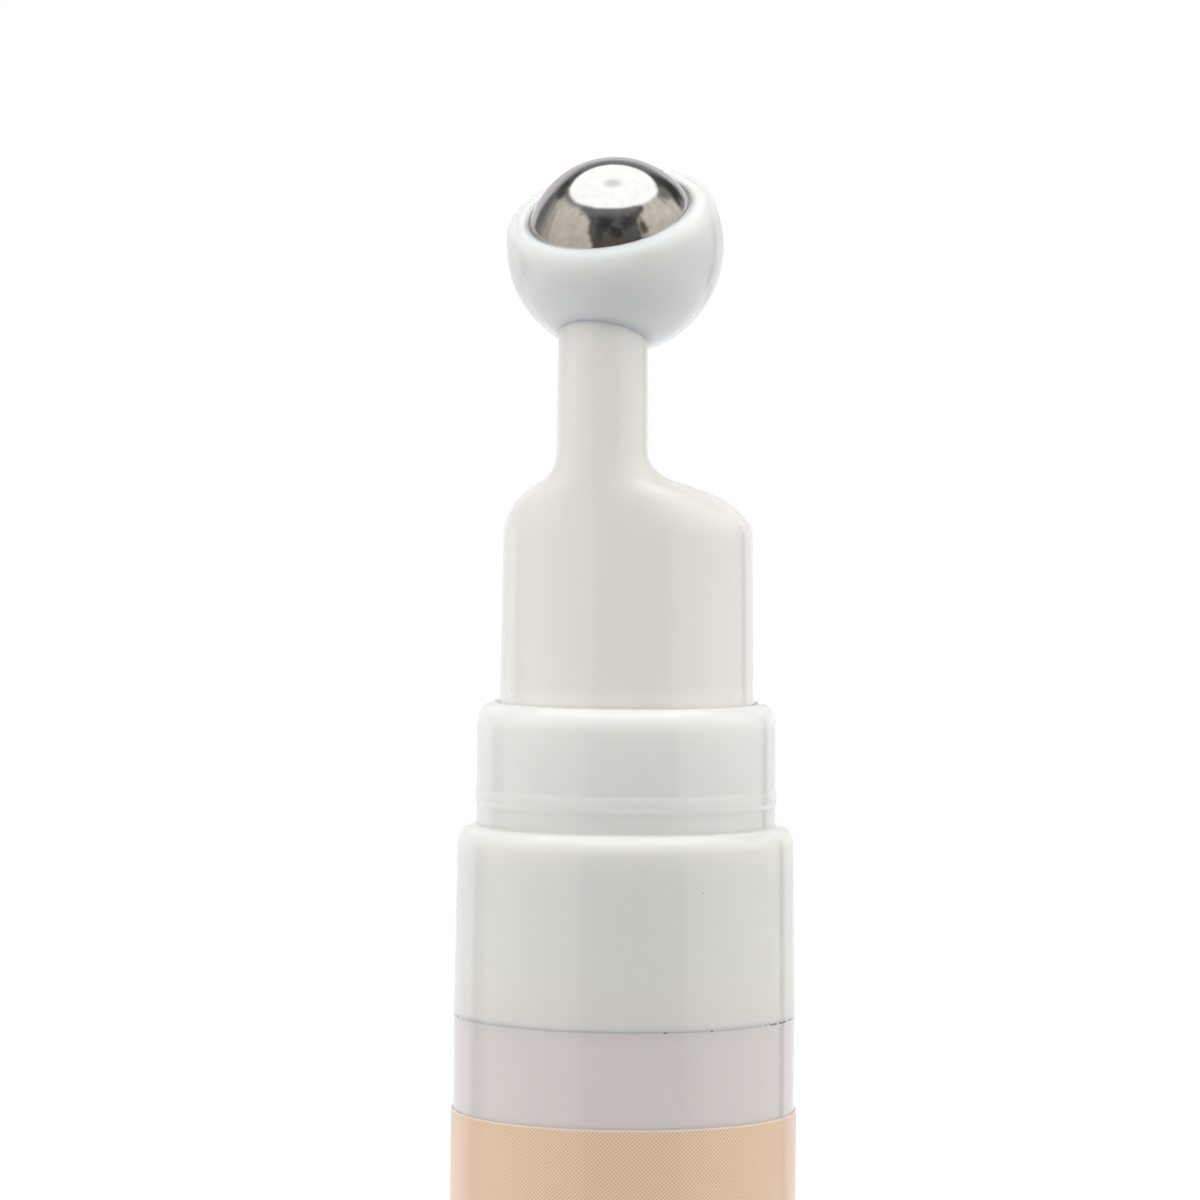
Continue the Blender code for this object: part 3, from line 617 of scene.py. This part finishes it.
def steel(name, roughness, scratch_depth, grain):
    """Bright steel with fine wear."""
    material, tree = new_tree(name)
    at = place_on(tree)
    long_at = mapped(tree, at, Scale=(1.0, 0.12, 0.4), Rotation=(0.4, 0.9, 0.3))
    scratch = noise(tree, long_at, grain * 6, 4.0)
    haze = noise(tree, at, grain, 3.0)
    rough = maths(tree, "MULTIPLY_ADD", scratch, roughness, roughness * 0.4)
    tone = blend_colour(tree, haze, (0.54, 0.53, 0.51, 1), (0.59, 0.58, 0.56, 1))
    wear = dents(tree, haze, scratch_depth * 4, dents(tree, scratch, scratch_depth))
    return end_in_shader(material, Base_Color=tone, Metallic=1.0, Roughness=rough, Normal=wear)


def soft_seal(name):
    """Matt grey seal with a fine grain."""
    material, tree = new_tree(name)
    grain = noise(tree, place_on(tree), 2500.0, 3.0)
    tone = blend_colour(tree, grain, (0.52, 0.52, 0.52, 1), (0.62, 0.62, 0.61, 1))
    grained = dents(tree, grain, 0.006 * MM)
    return end_in_shader(material, Base_Color=tone, Roughness=0.6, Normal=grained, IOR=1.45)


polished_steel = steel("polished_steel", 0.09, 0.00025 * MM, 300.0)
spring_steel = steel("spring_steel", 0.2, 0.001 * MM, 900.0)
seal_grey = soft_seal("seal_grey")
print("two steels and a seal")

# %% [markdown]
# ## Printed film
# The label is white film with a peach tint printed as a halftone: rows of fine ink dots that
# cross at a slant, a sixth of a millimetre apart, which the eye blends to one colour. An image
# could hold them, but two crossed waves on the label's own UV map, counted in millimetres, stay
# sharp at any size. Along the cut edge a pale line is painted: partly the bare film, and partly a
# painted highlight where the film's edge catches the light from above.

# %% A recipe for the halftone
dot_pitch = 0.165 * MM
dot_slant = math.radians(48)
# the pale line at the cut edge: bare film and a painted highlight
bare_and_lit_edge_width = 0.08 * MM
paper_peach, ink_peach = (0.74, 0.548, 0.39), (0.515, 0.345, 0.215)
bare_film_and_highlight = (0.75, 0.62, 0.49, 1)


def halftone_film(name, low, high):
    """Peach halftone on white film, for a label between two levels with a UV map in metres."""
    material, tree = new_tree(name)
    at = add_node(tree, "UVMap", {"uv_map": "wrap"}).outputs["UV"]
    waves = []
    for socket in parts(tree, mapped(tree, at, Rotation=(0, 0, dot_slant)))[:2]:
        angle = maths(tree, "MULTIPLY", socket, math.tau / dot_pitch)
        waves.append(maths(tree, "MULTIPLY_ADD", maths(tree, "SINE", angle), 0.5, 0.5))
    wear = noise(tree, at, 350.0, 3.0)
    ink = maths(tree, "MULTIPLY", *waves)
    ink = maths(tree, "MULTIPLY_ADD", wear, 0.16, maths(tree, "SUBTRACT", ink, 0.08))
    tint = ramp(tree, ink, [(0.05, paper_peach), (0.75, ink_peach)])
    # painted highlight along the cut edge, partly bare film
    bare_and_lit_edge = maths(tree, "LESS_THAN", depth_in(tree, parts(tree, at)["Y"], low, high), bare_and_lit_edge_width)
    tint = blend_colour(tree, bare_and_lit_edge, tint, bare_film_and_highlight)
    rough = maths(tree, "MULTIPLY_ADD", wear, 0.1, 0.3)
    fibre = dents(tree, noise(tree, at, 4000.0, 2.0), 0.002 * MM)
    return end_in_shader(
        material, Base_Color=tint, Roughness=rough, Normal=fibre, IOR=1.47,
        Coat_Weight=0.3, Coat_Roughness=0.12, Coat_IOR=1.6,
    )


label_low, label_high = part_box("label")
peach_film = halftone_film("peach_label", label_low.z, label_high.z)
print(f"halftone: {MM / dot_pitch:.1f} rows of dots per millimetre")

# %% [markdown]
# ## Modelling by pulling rings
# Nearly everything here was turned in a mould, so it is modelled as a lathe hand would: a ring of
# points is extruded along the outline, corner by corner, and scaled to each new radius. A drawn
# profile and the spin tool would give the same body. Pulling rings also works where the centre
# wanders, as on the head. The corners are then softened with a bevel on the rings picked by place.

# %% Helpers for edit mode
ring_points = 128
near_enough = 0.0005 * MM
push_fit = 0.1 * MM  # play round a piece that is pushed into another
overshoot = MM  # how far a cutter reaches past what it cuts
hair, fine = 0.012 * MM, 0.12 * MM  # the smallest and the usual small bevel


def choose(piece):
    """Selects one piece alone and makes it the active one."""
    clear_selection()
    piece.select_set(True)
    bpy.context.view_layer.objects.active = piece


def open_piece(piece):
    """Goes into edit mode on one piece, with none of it selected."""
    choose(piece)
    bpy.ops.object.mode_set(mode="EDIT")
    bpy.ops.mesh.select_mode(type="EDGE")
    bpy.ops.mesh.select_all(action="DESELECT")


def settle(piece):
    """Puts a piece's place, turn and size into its mesh."""
    choose(piece)
    bpy.ops.object.transform_apply(location=True, rotation=True, scale=True)


def named(name):
    """Names and settles the piece that an operator has just added."""
    piece = bpy.context.active_object
    piece.name = piece.data.name = name
    settle(piece)
    return piece


def start_ring(name, radius, level):
    """A ring of points about the axis, open in edit mode and selected."""
    clear_selection()
    bpy.ops.mesh.primitive_circle_add(vertices=ring_points, radius=radius, location=(0, 0, level))
    piece = named(name)
    open_piece(piece)
    bpy.ops.mesh.select_all(action="SELECT")
    return piece


def pull_ring(before, after, hold):
    """Extrudes the selected ring from one (radius, level) to the next; y = hold stays in place."""
    rise = after[1] - before[1]
    bpy.ops.mesh.extrude_region_move(TRANSFORM_OT_translate={"value": (0, 0, rise)})
    share = after[0] / before[0]
    bpy.ops.transform.resize(value=(share, share, 1), center_override=(0, hold, after[1]))


def pull_along(points, hold=0.0):
    """Pulls the selected ring from the first of these points through all the others."""
    for before, after in zip(points, points[1:]):
        pull_ring(before, after, hold)


def pick_rings(piece, places, centre=0.0):
    """Selects only the edges along these (radius, level) circles."""
    bpy.ops.mesh.select_all(action="DESELECT")
    mesh = bmesh.from_edit_mesh(piece.data)

    def lies_on(edge, radius, level):
        return all(
            abs(math.hypot(v.co.x, v.co.y - centre) - radius) < near_enough
            and abs(v.co.z - level) < near_enough
            for v in edge.verts
        )

    count = 0
    for edge in mesh.edges:
        if any(lies_on(edge, radius, level) for radius, level in places):
            edge.select_set(True)
            count += 1
    bmesh.update_edit_mesh(piece.data)
    return count


def round_rings(piece, width, steps, *places):
    """Bevels the corners at these (radius, level) places."""
    picked = pick_rings(piece, places)
    assert picked == ring_points * len(places), f"{piece.name}: {picked} edges at {places}"
    bpy.ops.mesh.bevel(offset=width, segments=steps, affect="EDGES", clamp_overlap=True)


def close_piece():
    """Turns the open piece's faces outwards and leaves edit mode."""
    bpy.ops.mesh.select_all(action="SELECT")
    bpy.ops.mesh.normals_make_consistent(inside=False)
    bpy.ops.object.mode_set(mode="OBJECT")


def arc(centre, radius, start, end, steps):
    """Points (radius, level) along an arc between two angles in radians, both ends included."""
    angles = [start + (end - start) * i / steps for i in range(steps + 1)]
    return [(centre[0] + radius * math.cos(a), centre[1] + radius * math.sin(a)) for a in angles]


def turn_section(name, section, rounds):
    """Pulls a ring right round a closed section, bridges the last ring to the first, and bevels
    the corners. Each round is a width, a number of steps and its (radius, level) places."""
    piece = start_ring(name, *section[0])
    pull_along(section)
    pick_rings(piece, [section[0], section[-1]])
    bpy.ops.mesh.bridge_edge_loops()
    for corner_round in rounds:
        round_rings(piece, *corner_round)
    close_piece()
    return piece


def apply_last(piece, modifier):
    """Applies a modifier, as its panel's arrow does."""
    choose(piece)
    bpy.ops.object.modifier_apply(modifier=modifier.name)


def join_or_cut(piece, tool, operation):
    """A Boolean with another shape, which is used up."""
    modifier = piece.modifiers.new(operation.title(), "BOOLEAN")
    modifier.operation = operation
    modifier.object = tool
    apply_last(piece, modifier)
    bpy.data.objects.remove(tool, do_unlink=True)


def shade(piece, sharp_angle):
    """Shades all but the sharp edges smooth. A tall wall stays flat next to its narrow bevels,
    because the large faces decide which way each corner's light is turned."""
    choose(piece)
    bpy.ops.object.shade_smooth_by_angle(angle=math.radians(sharp_angle))
    weighted = piece.modifiers.new("Weighted normals", "WEIGHTED_NORMAL")
    weighted.keep_sharp = True
    apply_last(piece, weighted)


def dress(piece, node, body, finish, sharp_angle=32):
    """Gives a new piece its shading and finish, its CAD node to stand for and its body to ride on."""
    shade(piece, sharp_angle)
    piece.data.materials.clear()
    piece.data.materials.append(finish)
    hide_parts(node)
    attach(piece, body)
    faces = sum(len(p.vertices) - 2 for p in piece.data.polygons)
    print(f"{piece.name}: {faces} triangles")


print(f"helpers for pulling rings of {ring_points} points")

# %% [markdown]
# ## The roller ball
# A bearing ball has no poles, and a mirror would show them. So it isn't a UV sphere: a cube is
# subdivided and every point is cast out to the same radius, which leaves even square faces all
# over.

# %% Model the ball
clear_selection()
bpy.ops.mesh.primitive_cube_add(size=2 * ball_radius)
ball = named("steel_roller_ball")
open_piece(ball)
bpy.ops.mesh.select_all(action="SELECT")
bpy.ops.mesh.subdivide(number_cuts=39)
bpy.ops.object.mode_set(mode="OBJECT")
cast = ball.modifiers.new("Cast", "CAST")
cast.factor = 1
cast.use_radius_as_size = False
cast.size = ball_radius
apply_last(ball, cast)
reach = max(v.co.length for v in ball.data.vertices)
ball.scale = Vector((1, 1, 1)) * ball_radius / reach
ball.location = ball_centre
settle(ball)
dress(ball, "roller_ball", "ball", polished_steel)

# %% [markdown]
# ## The ball's cup
# The cup is a spherical shell that wraps past the ball's widest line, so the ball snaps in and
# can't fall out. Its lip is a fat round that rolls over from the outside right down to the ball. A
# hollowed sphere with a bevelled rim would leave the lip too thin, so the whole section is drawn
# as arcs and pulled round. The cup is then tilted to the front as one piece, and gets the spigot
# that plugs into the stem and the feed bore that wets the ball.

# %% Work out the cup's section
cup_tilt = math.radians(29.2)
lip_contact = math.radians(26.0)  # how far past its widest line the ball is held
lip_round = 0.9 * MM
lip_gap = 0.03 * MM
pole_cap = math.radians(1.5)
spigot_radius = 1.5 * MM
spigot_length = 4.2 * MM
spigot_edge = 0.25 * MM
feed_radius = 0.6 * MM

lip_ring = cup_radius - lip_round
lip_reach = ball_radius + lip_gap
lip_turn = math.acos((lip_reach**2 - lip_ring**2 - lip_round**2) / (2 * lip_ring * lip_round))
lip_lean = math.atan2(lip_round * math.sin(lip_turn), lip_ring + lip_round * math.cos(lip_turn))
lip_start = lip_contact - lip_lean
lip_middle = (lip_ring * math.cos(lip_start), lip_ring * math.sin(lip_start))
floor_angle = pole_cap - math.pi / 2
seat_radius = ball_radius + ball_gap
seat_start = lip_contact - math.radians(4)
outside = arc((0, 0), cup_radius, floor_angle, lip_start, 48)
lip = arc(lip_middle, lip_round, lip_start, lip_start + lip_turn, 16)
seat = arc((0, 0), seat_radius, seat_start, floor_angle, 48)
print(f"the lip starts to roll over {math.degrees(lip_start):.0f} degrees above the ball's middle")

# %% Pull the cup
section = outside + lip[1:] + seat
cup = start_ring("round_ball_cup", *section[0])
bpy.ops.mesh.edge_face_add()
pick_rings(cup, [section[0]])
pull_along(section)
bpy.ops.mesh.edge_face_add()
close_piece()
cup.rotation_euler.x = cup_tilt
cup.location = ball_centre
settle(cup)
print(f"cup: {2 * cup_radius / MM:.2f} mm across, wall {cup_wall / MM:.2f} mm")

# %% Add its spigot and feed bore


def add_rod(name, radius, foot, points=64):
    """A cylinder on the stem's axis up to the ball's middle, to join on or to cut with."""
    top = ball_centre.z
    clear_selection()
    bpy.ops.mesh.primitive_cylinder_add(
        vertices=points, radius=radius, depth=top - foot, location=(0, -stem_offset, (foot + top) / 2)
    )
    return named(name)


def add_ball_tool(name, radius):
    """A sphere about the ball's middle to cut with."""
    clear_selection()
    bpy.ops.mesh.primitive_uv_sphere_add(
        segments=ring_points, ring_count=96, radius=radius, location=ball_centre
    )
    return named(name)


spigot_foot = ball_centre.z - cup_radius - spigot_length
spigot = add_rod("spigot", spigot_radius, spigot_foot)
open_piece(spigot)
pick_rings(spigot, [(spigot_radius, spigot_foot)], centre=-stem_offset)
bpy.ops.mesh.bevel(offset=spigot_edge, segments=2, affect="EDGES")
close_piece()
join_or_cut(spigot, add_ball_tool("spigot_trim", cup_radius - cup_wall / 2), "DIFFERENCE")
join_or_cut(cup, spigot, "UNION")
join_or_cut(cup, add_rod("cup_feed", feed_radius, spigot_foot - overshoot, 32), "DIFFERENCE")
dress(cup, "ball_cup", "applicator", bright_white, sharp_angle=40)

# %% [markdown]
# ## The applicator head
# Skirt, shoulder and stem are one moulding. Its front is one straight line from the skirt to the
# stem, and all the narrowing happens behind, so every circle of the shoulder touches that line. A
# bevel can't make such a shoulder, because its corner fades out towards the front. Scaling each
# pulled ring about its foremost point does: the circles shrink and stay in touch there. The
# shoulder turns over in two arcs, a tight one at the wall and a wider one above it.

# %% Work out its rings
skirt_foot = foot_of("applicator_head")
shoulder_level = collar_top + 9.5 * MM
edge_round = 1.6 * MM
edge_turn = math.radians(30)
shoulder_round = 4.4 * MM
shoulder_slope = math.radians(24)
stem_draft = 0.14 * MM
stem_fillet = 1.75 * MM
skirt_wall = 1.0 * MM
skirt_bore = head_top_radius - skirt_wall
skirt_edge = 0.15 * MM

corner = (head_top_radius - edge_round, shoulder_level)
deeper = shoulder_round - edge_round
crown = (corner[0] - deeper * math.cos(edge_turn), corner[1] - deeper * math.sin(edge_turn))
shoulder = arc(corner, edge_round, 0, edge_turn, 8)
shoulder += arc(crown, shoulder_round, edge_turn, math.pi / 2 - shoulder_slope, 12)[1:]
fillet_middle = stem_radius + stem_fillet
slope_foot = fillet_middle - stem_fillet * math.sin(shoulder_slope)
slope_rise = (shoulder[-1][0] - slope_foot) * math.tan(shoulder_slope)
fillet_level = shoulder[-1][1] + slope_rise + stem_fillet * math.cos(shoulder_slope)
fillet = arc((fillet_middle, fillet_level), stem_fillet, 1.5 * math.pi - shoulder_slope, math.pi, 20)
print(f"the shoulder starts {shoulder_level / MM:.1f} mm up, the straight stem {fillet_level / MM:.1f}")

# %% Pull the rings
inside = [(skirt_bore, shoulder_level), (skirt_bore, skirt_foot)]
skirt = [
    (skirt_radius - share * head_draft, skirt_foot + share * (shoulder_level - skirt_foot))
    for share in (0, 0.25, 0.5, 0.75)
]
head = start_ring("applicator_head_shell", *inside[0])
bpy.ops.mesh.edge_face_add()
pick_rings(head, [inside[0]])
pull_along(inside + skirt + shoulder[:1])
pull_along(shoulder + fillet, hold=-head_top_radius)
pull_ring(fillet[-1], (stem_radius - stem_draft, ball_centre.z), hold=-stem_offset)
bpy.ops.mesh.edge_face_add()
round_rings(head, skirt_edge, 3, (skirt_radius, skirt_foot))
close_piece()
print(f"head: {len(head.data.polygons)} faces before it is bored")

# %% Bore it and seat the cup
joint_gap = 0.02 * MM
stem_bore = 0.9 * MM
cutters = [
    add_rod("feed_bore", stem_bore, top_of("flow_insert")),
    add_rod("spigot_bore", spigot_radius + push_fit, spigot_foot - push_fit),
    add_ball_tool("cup_seat", cup_radius + joint_gap),
]
for cutter in cutters:
    join_or_cut(head, cutter, "DIFFERENCE")
dress(head, "applicator_head", "applicator", warm_white)

# %% [markdown]
# ## The collar
# The collar is a stepped ring: its foot meets the bottle, the cap's rim stands on its ledge, and
# the cap snaps over a bead so low that it shows only as two fine lines. Its ledge and top are
# rounded as quarters of an oval, taller than wide. A bevel gives only even rounds, so these two
# corners are points of the section itself, and bevels round the small corners afterwards, down to
# a hair's breadth on the seam.

# %% Turn the collar


def oval_corner(radius, level, wide, tall):
    """Points of an outer corner that is rounded as a quarter of an oval."""
    return [
        (radius - wide * (1 - across), level - tall * (1 - up))
        for across, up in arc((0, 0), 1, 0, math.pi / 2, 12)
    ]


foot_radius = radius_of("shoulder_collar")
collar_foot = seam_level + 0.003 * MM
ledge_radius = foot_radius - 0.15 * MM
ledge_level = 90.85 * MM
collar_wall = 1.06 * MM  # the ledge is as wide
wall_radius = ledge_radius - collar_wall
collar_bore = wall_radius - collar_wall
collar_step = ledge_level - 1.65 * MM
neck_bore = neck_radius + push_fit
bead_radius = wall_radius + 0.07 * MM
bead_foot = ledge_level + 1.15 * MM
bead_top = bead_foot + 1.0 * MM
bead_slant = 0.16 * MM
bead_edge = 0.03 * MM
catch_top = 82.2 * MM  # groove that snaps over the bottle's bead
catch_height = 1.4 * MM
catch_foot = catch_top - catch_height
catch_depth = 0.25 * MM
catch_slant = 0.1 * MM
section = [
    (neck_bore, collar_foot),
    (foot_radius, collar_foot),
    *oval_corner(ledge_radius, ledge_level, 0.9 * MM, 1.0 * MM),
    (wall_radius, ledge_level),
    (wall_radius, bead_foot),
    (bead_radius, bead_foot + bead_slant),
    (bead_radius, bead_top - bead_slant),
    (wall_radius, bead_top),
    *oval_corner(wall_radius, collar_top, 0.94 * MM, 1.3 * MM),
    (collar_bore, collar_top),
    (collar_bore, collar_step),
    (neck_bore, collar_step),
    (neck_bore, catch_top + catch_slant),
    (neck_bore + catch_depth, catch_top),
    (neck_bore + catch_depth, catch_foot),
    (neck_bore, catch_foot - catch_slant),
]
rounds = [
    (fine, 3, (wall_radius, ledge_level)),
    (hair, 2, (foot_radius, collar_foot)),
    (bead_edge, 2, (wall_radius, bead_foot), (wall_radius, bead_top)),
    (fine, 3, (collar_bore, collar_top)),
]
collar = turn_section("stepped_collar", section, rounds)
dress(collar, "shoulder_collar", "bottle_body", cool_white)

# %% [markdown]
# ## The bottle
# The tube is as straight as a pipe, because a follower piston has to slide up inside it. At the
# top its wall steps in to a neck, which the collar hides. The same pulled section makes it, inside
# and out, so that its wall is real wherever one looks in.

# %% Turn the bottle
bottle_foot = foot_of("bottle")
neck_top = top_of("bottle")
tube_wall, neck_wall = 1.2 * MM, 1.1 * MM
tube_bore = bottle_radius - tube_wall
mouth_radius = neck_radius - neck_wall
snap_radius = neck_radius + catch_depth
snap_slant = catch_height / 3
roof_level = seam_level - 0.5 * MM
tube_foot_round = 0.4 * MM
mouth_edge = 0.2 * MM
section = [
    (tube_bore, bottle_foot),
    (bottle_radius, bottle_foot),
    (bottle_radius, seam_level / 2),
    (bottle_radius, seam_level),
    (neck_radius, seam_level),
    (neck_radius, catch_foot),
    (snap_radius, catch_foot + snap_slant),
    (snap_radius, catch_top - snap_slant),
    (neck_radius, catch_top),
    (neck_radius, neck_top),
    (mouth_radius, neck_top),
    (mouth_radius, roof_level),
    (tube_bore, roof_level - tube_wall),
]
rounds = [
    (tube_foot_round, 6, (bottle_radius, bottle_foot)),
    (hair, 2, (bottle_radius, seam_level)),
    (mouth_edge, 2, (neck_radius, neck_top)),
]
tube = turn_section("milky_tube", section, rounds)
dress(tube, "bottle", "bottle_body", milky_bottle)

# %% [markdown]
# ## The base cap
# The bottle stands on a plug that is pushed into its foot. Its outer edge is rounded, its floor is
# recessed so that only a ring touches the table, and a small vent lets air in under the follower
# as the serum is used.

# %% Turn the base cap
base_round, stand_edge, flange_edge, plug_edge = 0.6 * MM, 0.15 * MM, 0.06 * MM, 0.2 * MM
stand_width = 1.6 * MM
stand_inner = bottle_radius - base_round - stand_width
recess = 0.5 * MM
flange_top = bottle_foot - push_fit
plug_radius = tube_bore - push_fit
plug_top = flange_top + 2.0 * MM
plug_bore = plug_radius - 1.0 * MM
vent_radius = 0.9 * MM
section = [
    (vent_radius, recess),
    (stand_inner - recess, recess),
    (stand_inner, 0),
    (bottle_radius, 0),
    (bottle_radius, flange_top),
    (plug_radius, flange_top),
    (plug_radius, plug_top),
    (plug_bore, plug_top),
    (plug_bore, flange_top),
    (vent_radius, flange_top),
]
rounds = [
    (base_round, 8, (bottle_radius, 0)),
    (stand_edge, 3, (stand_inner, 0)),
    (flange_edge, 2, (bottle_radius, flange_top)),
    (plug_edge, 2, (plug_radius, plug_top)),
    (fine, 2, (vent_radius, recess)),
]
base = turn_section("vented_base_cap", section, rounds)
dress(base, "base_cap", "bottle_body", milky_bottle)

# %% [markdown]
# ## The label
# A label is a flat strip, wrapped round until its ends all but meet at the back. So it starts as a
# flat grid with real measures in its UV map, and each column of points is then laid on the tube.
# Solidify gives the film its thickness, half to each side, so its edge stands proud of the tube.

# %% Wrap the label
film_clearance = 0.01 * MM
film_outside = label_high.x - film_clearance
film = film_outside - bottle_radius - film_clearance
wrap_radius = film_outside - film / 2
ends_gap = 0.35 * MM
strip_length = math.tau * wrap_radius - ends_gap
strip_height = label_high.z - label_low.z
label_middle = (label_low.z + label_high.z) / 2
clear_selection()
bpy.ops.mesh.primitive_grid_add(x_subdivisions=260, y_subdivisions=6, size=1)
label = named("printed_label")
strip = label.data
strip.uv_layers[0].name = "wrap"
for vertex in strip.vertices:
    vertex.co.x *= strip_length
    vertex.co.y *= strip_height
for loop, corner_uv in zip(strip.loops, strip.uv_layers["wrap"].data):
    flat_place = strip.vertices[loop.vertex_index].co
    corner_uv.uv = (flat_place.x, flat_place.y + label_middle)


def wrapped(place):
    """Where a point of the flat strip lies on the bottle. The strip's middle is at the front."""
    angle = place.x / wrap_radius
    level = place.y + label_middle
    return Vector((wrap_radius * math.sin(angle), -wrap_radius * math.cos(angle), level))


for vertex in strip.vertices:
    vertex.co = wrapped(vertex.co)
sheet = label.modifiers.new("Film", "SOLIDIFY")
sheet.thickness = film
sheet.offset = 0
apply_last(label, sheet)
open_piece(label)
close_piece()
dress(label, "label", "bottle_body", peach_film, sharp_angle=40)
print(f"label strip: {strip_length / MM:.1f} x {strip_height / MM:.1f} mm")

# %% [markdown]
# ## The return spring
# The spring stands between the pump and the head, and gets shorter as the head is pressed. A
# curve along a helix could carry the wire, but the Screw modifier needs only the wire's round
# section, which it winds up about the axis. A rigid coil would poke into the pressed head.

# %% Wind the spring
wire_radius = 0.3 * MM
spring_turns = 7
spring_low, spring_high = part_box("return_spring")
spring_length = spring_high.z - spring_low.z
coil_radius = spring_high.x - wire_radius
clear_selection()
bpy.ops.mesh.primitive_circle_add(
    vertices=16, radius=wire_radius, rotation=(math.radians(90), 0, 0),
    location=(coil_radius, 0, spring_low.z + wire_radius),
)
spring = named("coiled_return_spring")
winding = spring.modifiers.new("Winding", "SCREW")
winding.screw_offset = (spring_length - 2 * wire_radius) / spring_turns
winding.iterations = spring_turns
winding.steps = winding.render_steps = 48
apply_last(spring, winding)
open_piece(spring)
bpy.ops.mesh.select_all(action="SELECT")
bpy.ops.mesh.fill_holes(sides=0)
close_piece()
dress(spring, "return_spring", "bottle_body", spring_steel)
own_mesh(spring)

# %% [markdown]
# ## The works inside
# The pump, its seals and its valve stay hidden however the head is pressed. Their CAD solids
# already have the right shapes, so they stay, and only their finish is replaced.

# %% Finish the inner nodes
pump_nodes = "pump_body stem_guide valve_cage pump_stem stem_plug flow_insert follower_piston"
inner_finishes = {node: pump_white for node in pump_nodes.split()}
inner_finishes |= {"neck_gasket": seal_grey, "piston_seal": seal_grey, "inlet_ball": polished_steel}
for node, finish in inner_finishes.items():
    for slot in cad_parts[node].material_slots:
        slot.material = finish
print(f"{len(inner_finishes)} inner nodes finished")
